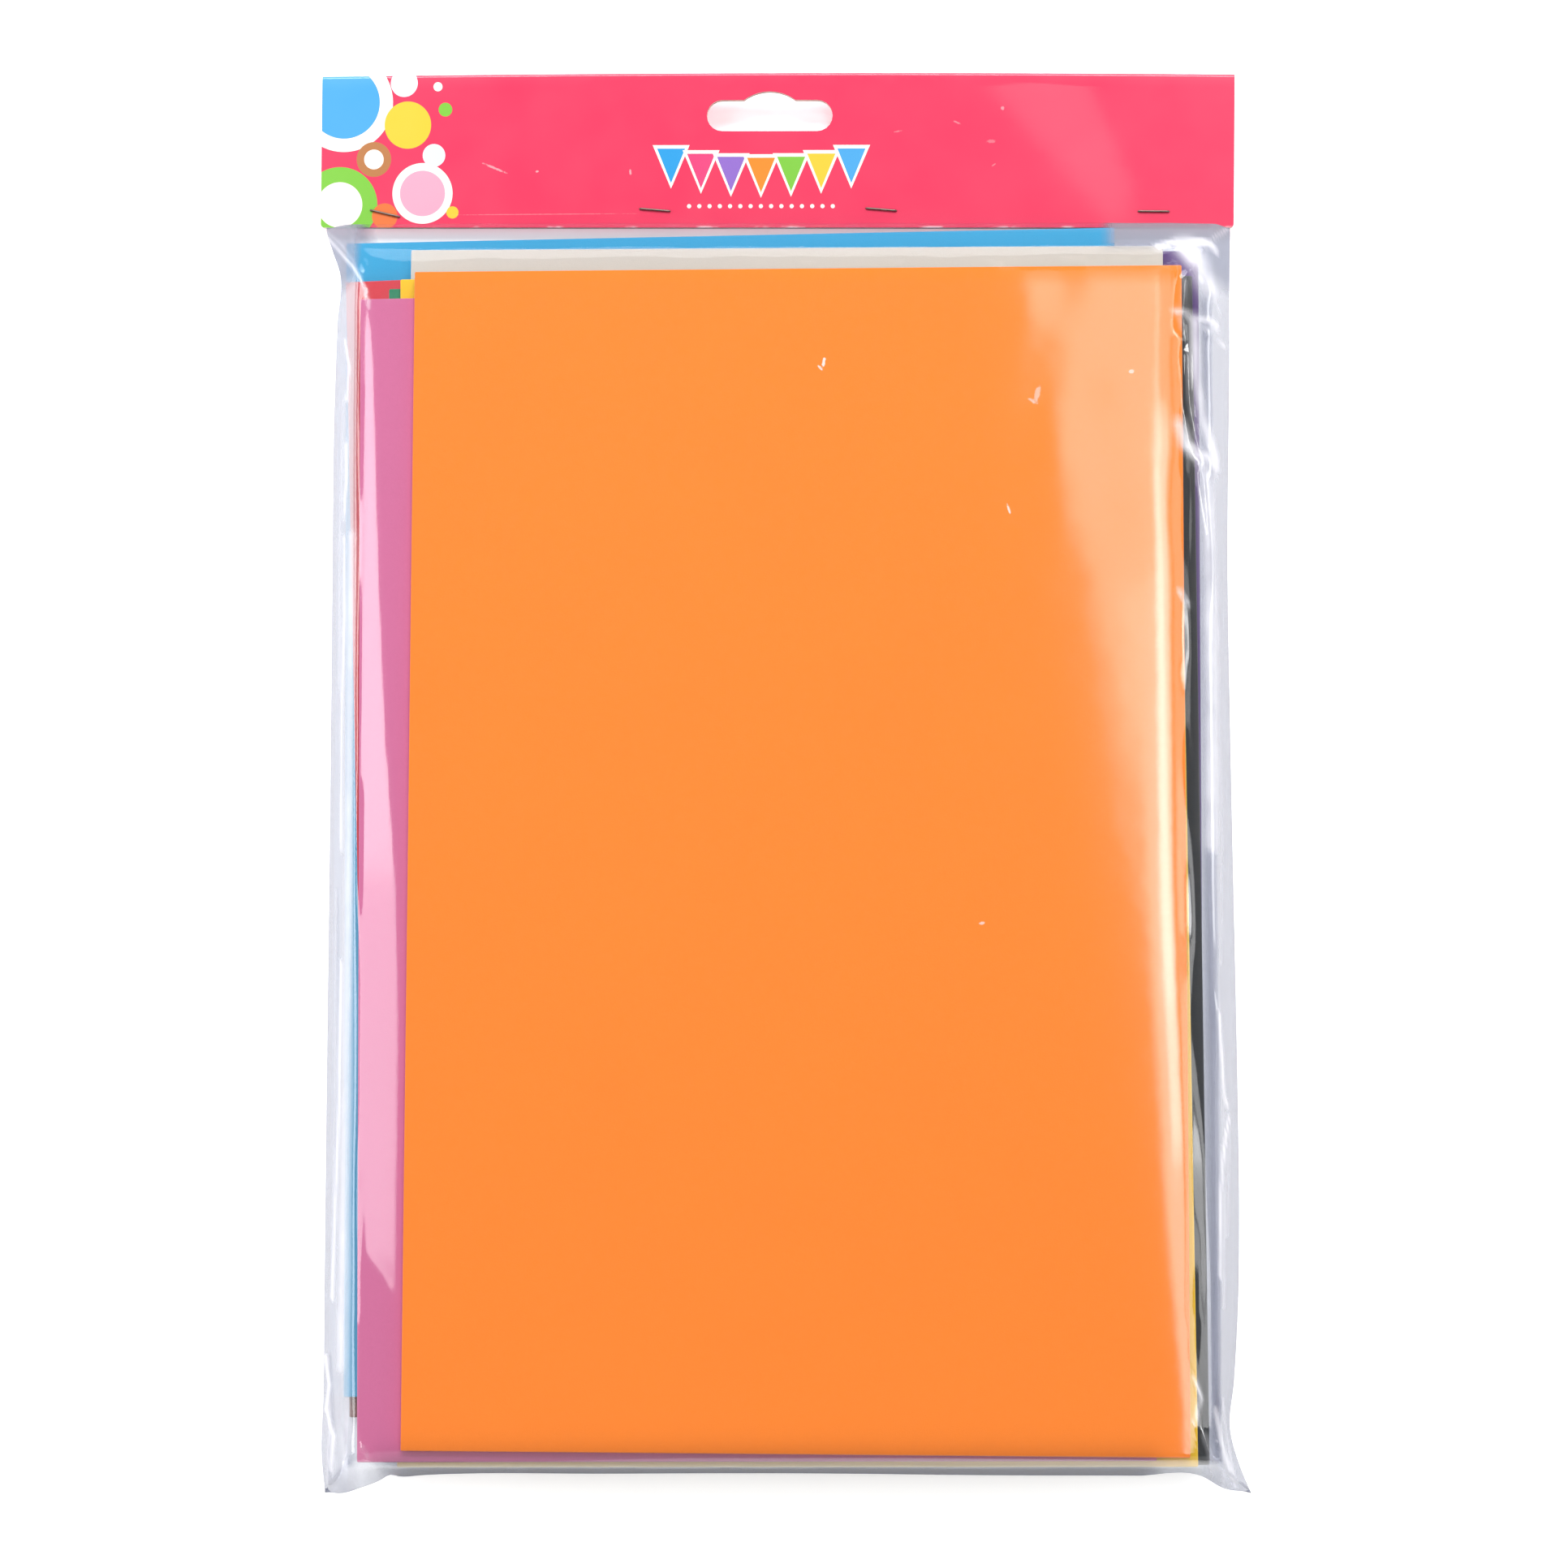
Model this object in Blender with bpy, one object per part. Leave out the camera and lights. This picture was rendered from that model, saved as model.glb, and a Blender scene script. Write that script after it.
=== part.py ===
"""A flat pack of ten coloured craft foam sheets in a clear film bag, closed by a stapled header card.

Metres, +Z up. The pack lies on its back: +X runs to the right of the header card and +Y towards its
fold. The origin is at the middle of the pack's box, on the surface it lies on.
"""

import itertools
import math

import bmesh
import bpy
from mathutils import Matrix, Vector

# Foam sheets, from the bottom of the stack to its top. Each is cut a little off the nominal size and
# lies a little askew: name, colour, extra width, extra length, centre x, centre y, turn in degrees.
SHEET_WIDTH = 0.200
SHEET_LENGTH = 0.300
SHEET_THICKNESS = 0.0020
SHEET_GAP = 0.0002
SHEETS = (
    ("brown", "8A5A58", 0.0000, 0.0020, -0.0166, 0.0079, 0.60),
    ("blue", "4FB3E6", 0.0020, 0.0000, -0.0169, 0.0124, 0.65),
    ("red", "E0485C", 0.0000, 0.0000, -0.0143, 0.0046, 1.90),
    ("purple", "7A5BA6", 0.0000, 0.0000, 0.0034, 0.0072, -0.15),
    ("black", "2B2F33", 0.0000, 0.0030, 0.0030, -0.0023, 0.40),
    ("white", "F2ECE6", -0.0048, 0.0000, -0.0038, 0.0076, -0.20),
    ("green", "2E9E78", 0.0000, -0.0010, -0.0054, -0.0018, 0.30),
    ("yellow", "F4C930", 0.0006, 0.0038, -0.0011, -0.0018, 0.55),
    ("pink", "DD7FB2", 0.0000, -0.0033, -0.0113, -0.0038, 0.60),
    ("orange", "FF8338", -0.0032, 0.0000, 0.0000, 0.0000, 0.00),
)

# Film bag
FILM_WALL = 0.00015
FILM_CLEARANCE = 0.00025
SEAM_HALF_GAP = 0.00015
SIDE_LEVEL = 0.0060
SIDE_SLACK_LEFT = 0.0016
SIDE_SLACK_RIGHT = 0.0077
SIDE_END_MARGIN = 0.0200
WELD_LEVEL = 0.0060
WELD_SLACK = 0.0023
EAR_TIP_RADIUS = 0.0020
EAR_ROOT = 0.0060
# The bag's flat bottom corners stand out as ears: side, width, drop below the weld and flare.
EARS = ((-1, 0.0180, 0.0059, 0.0), (1, 0.0100, 0.0031, 0.0018))

# Header card, folded over the mouth of the bag
CARD_WIDTH = 0.2400
CARD_HEIGHT = 0.0402
CARD_THICKNESS = 0.0004
CARD_LEVEL = 0.0030
CARD_CENTRE_X = -0.0066
CARD_TURN = math.radians(-0.55)
CARD_TILT = math.radians(4.0)
CARD_EDGE_CLEARANCE = 0.0011
CARD_FILM_GAP = 0.0002
FOLD_STEPS = 8

# The bag's mouth, flat between the card's two flaps
MOUTH_MARGIN = 0.0015
MOUTH_DEPTH = 0.0120
MOUTH_SETBACK = 0.0005
MOUTH_OVERLAP = 0.0010
SLIT_HALF_GAP = 0.0001

# Hang slot through both flaps
SLOT_WIDTH = 0.0330
SLOT_HEIGHT = 0.0080
SLOT_X = -0.0013
SLOT_ABOVE_EDGE = 0.0251
SLOT_HUMP_WIDTH = 0.0135
SLOT_HUMP_RISE = 0.0022
ARC_STEPS = 8

# Staples, from the left: the end of the card that each is set from, its distance from there, its
# height above the card's lower edge and its tilt in degrees
WIRE_DIAMETER = 0.0005
STAPLE_CROWN = 0.0079
STAPLE_CLINCH = 0.0030
STAPLE_GAP = 0.0002
STAPLE_BEND_RADIUS = 0.00045
STAPLE_HOLE_CLEARANCE = 0.00025
STAPLES = (
    (-1, 0.0171, 0.0037, -13.0),
    (-1, 0.0886, 0.0046, -4.6),
    (1, 0.0919, 0.0047, -4.6),
    (1, 0.0208, 0.0042, -0.4),
)


def linear(hex_colour):
    """The linear colour of a hexadecimal sRGB colour."""
    parts = [int(hex_colour[i : i + 2], 16) / 255 for i in (0, 2, 4)]
    return [p / 12.92 if p <= 0.04045 else ((p + 0.055) / 1.055) ** 2.4 for p in parts] + [1.0]


def make_material(name, hex_colour, roughness, metallic=0.0, see_through=0.0):
    material = bpy.data.materials.new(name)
    material.use_nodes = True
    shader = material.node_tree.nodes["Principled BSDF"]
    shader.inputs["Base Color"].default_value = linear(hex_colour)
    shader.inputs["Roughness"].default_value = roughness
    shader.inputs["Metallic"].default_value = metallic
    shader.inputs["Transmission Weight"].default_value = see_through
    material.diffuse_color = linear(hex_colour)
    return material


def clear_scene():
    for thing in list(bpy.data.objects):
        bpy.data.objects.remove(thing, do_unlink=True)


def new_collection(name):
    collection = bpy.data.collections.new(name)
    bpy.context.scene.collection.children.link(collection)
    return collection


def adopt(thing, name, collection, material=None):
    """Names an object, moves it to its collection and gives it its material."""
    thing.name = name
    thing.data.name = name
    for owner in list(thing.users_collection):
        owner.objects.unlink(thing)
    collection.objects.link(thing)
    if material:
        thing.data.materials.append(material)
    return thing


def object_from(shape, name, collection, material=None):
    """A new object that holds the bmesh's shape."""
    mesh = bpy.data.meshes.new(name)
    shape.to_mesh(mesh)
    shape.free()
    return adopt(bpy.data.objects.new(name, mesh), name, collection, material)


def make_cutter(thing):
    thing.hide_render = True
    thing.display_type = "WIRE"
    return thing


def add_box(name, size, place, collection, material=None):
    """A box of this size, centred on the place's origin."""
    bpy.ops.mesh.primitive_cube_add(size=1)
    box = adopt(bpy.context.object, name, collection, material)
    box.data.transform(Matrix.Diagonal((*size, 1)))
    box.matrix_world = place
    return box


def curve_to_mesh(curve):
    """The curve as a mesh object in its place, with its caps welded on."""
    bpy.context.view_layer.update()
    evaluated = curve.evaluated_get(bpy.context.evaluated_depsgraph_get())
    mesh = bpy.data.meshes.new_from_object(evaluated)
    shape = bmesh.new()
    shape.from_mesh(mesh)
    bmesh.ops.remove_doubles(shape, verts=shape.verts, dist=1e-6)
    bmesh.ops.recalc_face_normals(shape, faces=shape.faces)
    shape.to_mesh(mesh)
    shape.free()
    solid = bpy.data.objects.new(curve.name, mesh)
    bpy.context.scene.collection.objects.link(solid)
    solid.matrix_world = curve.matrix_world
    bpy.data.objects.remove(curve)
    return solid


def add_outline(name, points, thickness, place, collection, material=None):
    """A plate of this thickness from a closed flat outline, centred on the place's XY plane."""
    data = bpy.data.curves.new(name, "CURVE")
    data.dimensions = "2D"
    data.fill_mode = "BOTH"
    data.extrude = thickness / 2
    spline = data.splines.new("POLY")
    spline.points.add(len(points) - 1)
    for target, (x, y) in zip(spline.points, points):
        target.co = (x, y, 0, 1)
    spline.use_cyclic_u = True
    curve = bpy.data.objects.new(name, data)
    bpy.context.scene.collection.objects.link(curve)
    curve.matrix_world = place
    return adopt(curve_to_mesh(curve), name, collection, material)


def arc(centre, radius, start, end, steps):
    """Points of an arc, its angles in degrees."""
    turns = [math.radians(start + (end - start) * i / steps) for i in range(steps + 1)]
    return [(centre[0] + radius * math.cos(t), centre[1] + radius * math.sin(t)) for t in turns]


def boolean(thing, operation, other):
    modifier = thing.modifiers.new(f"{operation.lower()} {other.name}", "BOOLEAN")
    modifier.operation = operation
    modifier.object = other
    modifier.solver = "EXACT"


def sheet_sizes(sheet):
    """Half width, half length and place of a sheet, with its turn."""
    _, _, extra_width, extra_length, x, y, degrees = sheet
    half = Vector(((SHEET_WIDTH + extra_width) / 2, (SHEET_LENGTH + extra_length) / 2))
    return half, Vector((x, y)), math.radians(degrees)


def sheet_bottom(level):
    return FILM_WALL + FILM_CLEARANCE + level * (SHEET_THICKNESS + SHEET_GAP)


def sheet_corners(sheet, extra=0.0):
    """The four corners of a sheet seen from above, moved outwards by extra."""
    half, centre, turn = sheet_sizes(sheet)
    corners = []
    for side, end in ((-1, -1), (1, -1), (1, 1), (-1, 1)):
        corner = Vector((side * (half.x + extra), end * (half.y + extra)))
        corner.rotate(Matrix.Rotation(turn, 2))
        corners.append(centre + corner)
    return corners


def stack_corners():
    return [corner for sheet in SHEETS for corner in sheet_corners(sheet)]


def add_foam_sheets(collection):
    for level, sheet in enumerate(SHEETS):
        name, colour = sheet[:2]
        half, centre, turn = sheet_sizes(sheet)
        middle = sheet_bottom(level) + SHEET_THICKNESS / 2
        place = Matrix.Translation((centre.x, centre.y, middle)) @ Matrix.Rotation(turn, 4, "Z")
        size = (2 * half.x, 2 * half.y, SHEET_THICKNESS)
        add_box(f"foam_sheet_{name}", size, place, collection, make_material(f"{name} foam", colour, 0.9))


def card_place():
    """The card's own frame: x from its middle, y from its lower edge, z from between its flaps."""
    across = Vector((math.cos(CARD_TURN), math.sin(CARD_TURN)))
    upwards = Vector((-math.sin(CARD_TURN), math.cos(CARD_TURN)))
    edge = max(corner.dot(upwards) for corner in stack_corners()) + CARD_EDGE_CLEARANCE
    middle_y = (edge - CARD_CENTRE_X * upwards.x) / across.x
    turn = Matrix.Rotation(CARD_TURN, 4, "Z") @ Matrix.Rotation(CARD_TILT, 4, "X")
    return Matrix.Translation((CARD_CENTRE_X, middle_y, CARD_LEVEL)) @ turn


def card_half_gap():
    """From the middle plane to the inner face of a flap."""
    return SLIT_HALF_GAP + FILM_WALL + CARD_FILM_GAP


def add_header_card(place, cutters, collection):
    """One card folded over, its section drawn and run along its width, then slotted and pierced."""
    inner = card_half_gap()
    outer = inner + CARD_THICKNESS
    fold = CARD_HEIGHT - outer
    section = [(0, outer)] + arc((fold, 0), outer, 90, -90, FOLD_STEPS) + [(0, -outer)]
    section += [(0, -inner)] + arc((fold, 0), inner, -90, 90, FOLD_STEPS) + [(0, inner)]
    # The section's x runs up the card and its y through it, and its own z along the card.
    along = Matrix(((0, 0, 1, 0), (1, 0, 0, 0), (0, 1, 0, 0), (0, 0, 0, 1)))
    material = make_material("printed card", "FF5476", 0.45)
    card = add_outline("header_card", section, CARD_WIDTH, place @ along, collection, material)
    boolean(card, "DIFFERENCE", add_slot_cutter(place, 4 * outer, cutters))
    return card


def add_slot_cutter(place, thickness, cutters):
    """The long round-ended hang slot with a low hump in the middle of its upper side."""
    radius = SLOT_HEIGHT / 2
    side = SLOT_WIDTH / 2 - radius
    half = SLOT_HUMP_WIDTH / 2
    hump_radius = (half**2 + SLOT_HUMP_RISE**2) / (2 * SLOT_HUMP_RISE)
    hump_turn = math.degrees(math.asin(half / hump_radius))
    hump_centre = (0, radius + SLOT_HUMP_RISE - hump_radius)
    points = arc((side, 0), radius, -90, 90, ARC_STEPS)
    points += arc(hump_centre, hump_radius, 90 - hump_turn, 90 + hump_turn, ARC_STEPS)
    points += arc((-side, 0), radius, 90, 270, ARC_STEPS)
    middle = Matrix.Translation((SLOT_X, SLOT_ABOVE_EDGE + radius, 0))
    return make_cutter(add_outline("slot_cutter", points, thickness, place @ middle, cutters))


def staple_places(place):
    """The middle of each staple, between the card's flaps, with its tilt."""
    for side, inset, above_edge, degrees in STAPLES:
        x = side * (CARD_WIDTH / 2 - inset)
        turn = Matrix.Rotation(math.radians(degrees), 4, "Z")
        yield place @ Matrix.Translation((x, above_edge, 0)) @ turn


def staple_reach():
    """From the card's middle plane to the middle of the wire outside a flap."""
    return card_half_gap() + CARD_THICKNESS + STAPLE_GAP + WIRE_DIAMETER / 2


def staple_route():
    """Half a staple's route, from the middle of its crown to the end of its bent leg, in x and z."""
    side, reach, bend = STAPLE_CROWN / 2, staple_reach(), STAPLE_BEND_RADIUS
    route = [(0, reach)] + arc((side - bend, reach - bend), bend, 90, 0, 3)
    route += arc((side - bend, bend - reach), bend, 0, -90, 3)
    return route + [(side - bend - STAPLE_CLINCH, -reach)]


def add_staple(name, place, collection, material):
    half = staple_route()
    route = [(-x, z) for x, z in reversed(half)] + half[1:]
    data = bpy.data.curves.new(name, "CURVE")
    data.dimensions = "3D"
    data.bevel_depth = WIRE_DIAMETER / 2
    data.bevel_resolution = 2
    data.use_fill_caps = True
    spline = data.splines.new("POLY")
    spline.points.add(len(route) - 1)
    for target, (x, z) in zip(spline.points, route):
        target.co = (x, 0, z, 1)
    staple = bpy.data.objects.new(name, data)
    bpy.context.scene.collection.objects.link(staple)
    staple.matrix_world = place
    staple = adopt(curve_to_mesh(staple), name, collection, material)
    staple.data.shade_smooth()
    staple.data.set_sharp_from_angle(angle=math.radians(40))


def add_staple_hole_cutter(place, cutters):
    """One cutter with a round bar for each leg of each staple."""
    shape = bmesh.new()
    side = STAPLE_CROWN / 2
    for middle in staple_places(Matrix()):
        for end in (-1, 1):
            leg = middle @ Matrix.Translation((end * side, 0, 0))
            bmesh.ops.create_cone(
                shape,
                cap_ends=True,
                segments=12,
                radius1=WIRE_DIAMETER / 2 + STAPLE_HOLE_CLEARANCE,
                radius2=WIRE_DIAMETER / 2 + STAPLE_HOLE_CLEARANCE,
                depth=4 * staple_reach(),
                matrix=leg,
            )
    holes = object_from(shape, "staple_holes", cutters)
    holes.matrix_world = place
    return make_cutter(holes)


def bag_edges():
    """The left and right sides of the flat film, its bottom weld and the end of the stack."""
    corners = stack_corners()
    left = min(corner.x for corner in corners) - SIDE_SLACK_LEFT
    right = max(corner.x for corner in corners) + SIDE_SLACK_RIGHT
    bottom = min(corner.y for corner in corners) - WELD_SLACK
    return left, right, bottom, max(corner.y for corner in corners)


def mouth_width():
    return CARD_WIDTH - 2 * MOUTH_MARGIN


def seam_points(place):
    """Where the film's front meets its back: the two sides, the weld at the bottom and the mouth."""
    left, right, bottom, top = bag_edges()
    ends = (bottom + SIDE_END_MARGIN, top - SIDE_END_MARGIN)
    sides = [Vector((x, y, SIDE_LEVEL)) for x in (left, right) for y in ends]
    corners = {-1: left, 1: right}
    weld = [Vector((corners[side] - side * width, bottom, WELD_LEVEL)) for side, width, *_ in EARS]
    mouth = [place @ Vector((end * mouth_width() / 2, -MOUTH_SETBACK, 0)) for end in (-1, 1)]
    return sides + weld + mouth


def add_film_hull(name, place, extra, collection, material=None):
    """The film drawn tight round the sheets and its own seams, moved outwards by extra."""
    shape = bmesh.new()
    for level, sheet in enumerate(SHEETS):
        low = sheet_bottom(level) - FILM_CLEARANCE - extra
        high = sheet_bottom(level) + SHEET_THICKNESS + FILM_CLEARANCE + extra
        for corner in sheet_corners(sheet, FILM_CLEARANCE + extra):
            shape.verts.new((*corner, low))
            shape.verts.new((*corner, high))
    half = SEAM_HALF_GAP + extra
    for point in seam_points(place):
        for offset in itertools.product((-half, half), repeat=3):
            shape.verts.new(point + Vector(offset))
    made = bmesh.ops.convex_hull(shape, input=shape.verts)
    unused = set(made["geom_interior"] + made["geom_unused"])
    bmesh.ops.delete(shape, geom=[v for v in unused if isinstance(v, bmesh.types.BMVert)], context="VERTS")
    bmesh.ops.recalc_face_normals(shape, faces=shape.faces)
    return object_from(shape, name, collection, material)


def add_ear(side, width, drop, flare, cutters):
    """One welded corner of the film that the sheets don't fill, a flat plate with a rounded tip."""
    left, right, bottom, _ = bag_edges()
    edge = left if side < 0 else right
    radius = EAR_TIP_RADIUS
    # Drawn with its outer side at x = 0 and the bag at +X, then mirrored for the right side.
    tip = (radius - flare, radius - drop)
    points = [(0, SIDE_END_MARGIN)] + arc(tip, radius, 180, 270, ARC_STEPS)
    points += [(width, 0), (width + EAR_ROOT, 0), (width + EAR_ROOT, SIDE_END_MARGIN)]
    points = [(edge - side * x, bottom + y) for x, y in points]
    name = "left_ear" if side < 0 else "right_ear"
    level = Matrix.Translation((0, 0, WELD_LEVEL))
    return make_cutter(add_outline(name, points, 2 * FILM_WALL, level, cutters))


def add_mouth_box(name, place, width, half_height, end, cutters):
    """A flat box between the card's flaps, from inside the bag to this end."""
    start = -MOUTH_SETBACK - MOUTH_OVERLAP
    middle = place @ Matrix.Translation((0, (start + end) / 2, 0))
    return make_cutter(add_box(name, (width, end - start, 2 * half_height), middle, cutters))


def add_film_bag(place, holes, cutters, collection):
    """The film tube round the stack, welded at the bottom and open only between the card's flaps."""
    material = make_material("clear film", "EDEBF2", 0.12, see_through=0.9)
    bag = add_film_hull("film_bag", place, FILM_WALL, collection, material)
    width = mouth_width()
    half_height = SLIT_HALF_GAP + FILM_WALL
    boolean(bag, "UNION", add_mouth_box("mouth", place, width, half_height, MOUTH_DEPTH, cutters))
    for ear in EARS:
        boolean(bag, "UNION", add_ear(*ear, cutters))
    boolean(bag, "DIFFERENCE", make_cutter(add_film_hull("bag_inside", place, 0.0, cutters)))
    width -= 2 * FILM_WALL
    end = MOUTH_DEPTH + MOUTH_OVERLAP
    boolean(bag, "DIFFERENCE", add_mouth_box("slit", place, width, SLIT_HALF_GAP, end, cutters))
    boolean(bag, "DIFFERENCE", holes)


def centre_pack(pack, cutters):
    """Hangs everything on an empty that puts the origin at the middle of the pack's underside."""
    bpy.context.view_layer.update()
    graph = bpy.context.evaluated_depsgraph_get()
    points = []
    for thing in pack.objects:
        mesh = thing.evaluated_get(graph).to_mesh()
        points += [thing.matrix_world @ vertex.co for vertex in mesh.vertices]
    low = Vector(map(min, zip(*points)))
    high = Vector(map(max, zip(*points)))
    origin = bpy.data.objects.new("pack_origin", None)
    pack.objects.link(origin)
    for thing in [*pack.objects, *cutters.objects]:
        if thing is not origin:
            thing.parent = origin
    origin.location = (-(low.x + high.x) / 2, -(low.y + high.y) / 2, -low.z)


def main():
    clear_scene()
    pack = new_collection("craft_foam_pack")
    cutters = new_collection("cutters")
    place = card_place()
    add_foam_sheets(pack)
    card = add_header_card(place, cutters, pack)
    holes = add_staple_hole_cutter(place, cutters)
    boolean(card, "DIFFERENCE", holes)
    add_film_bag(place, holes, cutters, pack)
    steel = make_material("staple wire", "8E9196", 0.35, metallic=1.0)
    for number, middle in enumerate(staple_places(place), start=1):
        add_staple(f"staple_{number}", middle, pack, steel)
    centre_pack(pack, cutters)


main()
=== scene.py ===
# %% [markdown]
# A retail pack of craft foam: ten coloured sheets of soft foam lie in a clear film bag, which a folded
# and stapled header card closes. Its solids come from the frame, which says where each piece lies and
# how large it is. This lesson dresses them: every piece is modelled again in the place of its solid,
# with the rounded edges, folds, print and finish that the plain solid lacks.

# %% Load the frame
import math

import bmesh
import bpy
import numpy as np
from mathutils import Matrix, Vector, noise


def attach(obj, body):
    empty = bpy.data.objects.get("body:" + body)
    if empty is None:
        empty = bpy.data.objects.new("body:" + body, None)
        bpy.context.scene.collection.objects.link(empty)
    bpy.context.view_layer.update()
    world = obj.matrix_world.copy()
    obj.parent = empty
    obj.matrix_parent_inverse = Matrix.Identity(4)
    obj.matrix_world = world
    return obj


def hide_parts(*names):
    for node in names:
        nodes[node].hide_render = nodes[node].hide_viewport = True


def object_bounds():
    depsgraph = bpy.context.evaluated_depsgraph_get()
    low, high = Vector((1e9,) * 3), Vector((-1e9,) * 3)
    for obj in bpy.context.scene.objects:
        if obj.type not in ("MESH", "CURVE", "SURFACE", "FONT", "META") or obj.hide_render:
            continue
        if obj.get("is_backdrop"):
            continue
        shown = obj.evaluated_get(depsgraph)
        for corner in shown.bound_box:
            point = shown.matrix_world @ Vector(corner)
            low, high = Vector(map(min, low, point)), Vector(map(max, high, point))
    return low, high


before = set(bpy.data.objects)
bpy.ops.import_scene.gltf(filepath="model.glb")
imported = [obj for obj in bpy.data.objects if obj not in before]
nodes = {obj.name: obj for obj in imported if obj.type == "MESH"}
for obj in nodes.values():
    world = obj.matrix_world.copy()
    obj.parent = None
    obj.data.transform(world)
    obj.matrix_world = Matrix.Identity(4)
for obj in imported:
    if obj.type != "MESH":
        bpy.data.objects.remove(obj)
cad_low, cad_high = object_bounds()
MM = 0.001
print("solids:", len(nodes), "box in mm:", [round(x / MM, 1) for x in cad_high - cad_low])

# %% [markdown]
# The camera looks almost straight down from 0.8 m, a little from the right and from below the middle of
# the pack. Its three small turns and its place come from the corners of the sheets in the photograph. A
# camera looks along its own -Z, so the turns below, which take the pack to the camera, are transposed.

# %% Set the camera
CAMERA_PLACE = (0.0420, -0.0686, 0.8202)
CAMERA_PITCH = -4.590
CAMERA_YAW = -2.735
CAMERA_ROLL = -0.153
CAMERA_LENS = 72.73
CAMERA_SENSOR = 36.0

turns = [Matrix.Rotation(math.radians(angle), 3, axis)
         for angle, axis in ((CAMERA_PITCH, "X"), (CAMERA_YAW, "Y"), (CAMERA_ROLL, "Z"))]
camera = bpy.data.objects.new("camera", bpy.data.cameras.new("camera"))
bpy.context.scene.collection.objects.link(camera)
camera.data.lens = CAMERA_LENS
camera.data.sensor_width = CAMERA_SENSOR
camera_turn = (turns[0] @ turns[1] @ turns[2]).transposed().to_4x4()
camera.matrix_world = Matrix.Translation(CAMERA_PLACE) @ camera_turn
bpy.context.scene.camera = camera
print("camera is", round(CAMERA_PLACE[2], 3), "m above the floor")

# %% [markdown]
# Colours are written as the hexadecimal numbers that a paint program shows, and turned into the linear
# numbers that the shader takes. Node trees are easier to read when a node, its settings and what feeds
# it are one call, so that is the helper that the rest of the lesson leans on.

# %% Helpers for colours and node trees
def colour(hexadecimal):
    """The linear colour of a hexadecimal sRGB colour."""
    parts = [int(hexadecimal[i : i + 2], 16) / 255 for i in (0, 2, 4)]
    return tuple(p / 12.92 if p <= 0.04045 else ((p + 0.055) / 1.055) ** 2.4 for p in parts) + (1.0,)


def add(tree, kind, values=(), **settings):
    """A new node: settings are its properties, and values its inputs, each a number or a socket."""
    made = tree.nodes.new(kind)
    for name, value in settings.items():
        setattr(made, name, value)
    for socket, value in dict(values).items():
        if isinstance(value, bpy.types.NodeSocket):
            tree.links.new(value, made.inputs[socket])
        else:
            made.inputs[socket].default_value = value
    return made


def math_node(tree, operation, *values, clamp=False):
    """The result of a Math node on these numbers or sockets."""
    made = add(tree, "ShaderNodeMath", enumerate(values), operation=operation, use_clamp=clamp)
    return made.outputs[0]


def mix_colour(tree, factor, first, second):
    """The result of mixing two colours."""
    made = add(tree, "ShaderNodeMix", {0: factor, 6: first, 7: second}, data_type="RGBA")
    return made.outputs[2]


def map_range(tree, value, low, high, new_low=0.0, new_high=1.0):
    """The value taken from one range to another, and held inside it."""
    values = {0: value, 1: low, 2: high, 3: new_low, 4: new_high}
    return add(tree, "ShaderNodeMapRange", values).outputs[0]


def noise_of(tree, where, scale, detail, roughness=0.5):
    """The value of a noise texture at a point."""
    values = {"Vector": where, "Scale": scale, "Detail": detail, "Roughness": roughness}
    return add(tree, "ShaderNodeTexNoise", values).outputs["Fac"]


def parts_of(tree, vector):
    """The X, Y and Z of a vector."""
    return add(tree, "ShaderNodeSeparateXYZ", {0: vector}).outputs


def new_group(name, inputs, outputs, kind="ShaderNodeTree"):
    """An empty node group with named sockets. inputs are (name, type) or (name, type, default)."""
    tree = bpy.data.node_groups.new(name, kind)
    for label, socket, *default in inputs:
        made = tree.interface.new_socket(label, in_out="INPUT", socket_type="NodeSocket" + socket)
        if default:
            made.default_value = default[0]
    for label, socket in outputs:
        tree.interface.new_socket(label, in_out="OUTPUT", socket_type="NodeSocket" + socket)
    return tree, tree.nodes.new("NodeGroupInput").outputs, tree.nodes.new("NodeGroupOutput").inputs


def new_material(name):
    """A material with an empty tree, and that tree with its output node."""
    material = bpy.data.materials.new(name)
    material.use_nodes = True
    tree = material.node_tree
    tree.nodes.clear()
    return material, tree, tree.nodes.new("ShaderNodeOutputMaterial")


def principled(tree, output, values):
    """Links a Principled shader with these inputs to a material's output."""
    shader = add(tree, "ShaderNodeBsdfPrincipled", values)
    tree.links.new(shader.outputs[0], output.inputs["Surface"])


print("helpers ready")

# %% [markdown]
# The pack lies on a pale floor under studio light. The flat film mirrors whatever hangs above it, so the
# lights are placed by where they are mirrored. A long soft box on the right has a slanting left edge,
# which draws the slanting border of the pale area over the orange sheet. Brighter ones beside it are
# mirrored where the film starts to fall, as a streak near the stack's edge. The one on the left is
# mirrored only by the film's slope over the pink sheet, and the upright one on the right by the steep
# film beyond the stack. The sky is bright near the horizon and dark overhead, as a studio is, so the
# middle of the film stays clear. The floor is a light table, so the pack throws hardly any shadow on it.

# %% Lay the floor and hang the lights
FLOOR_HALF = 3.0
FLOOR_DROP = 0.0002
FLOOR_GLOW = 0.30
SKY_STRENGTH = 0.79
ZENITH_STRENGTH = 0.12
# The Z of the directions between which the sky darkens
SKY_DARKENS = (0.70, 0.93)
WHITE = (1.0, 1.0, 1.0, 1.0)

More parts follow.
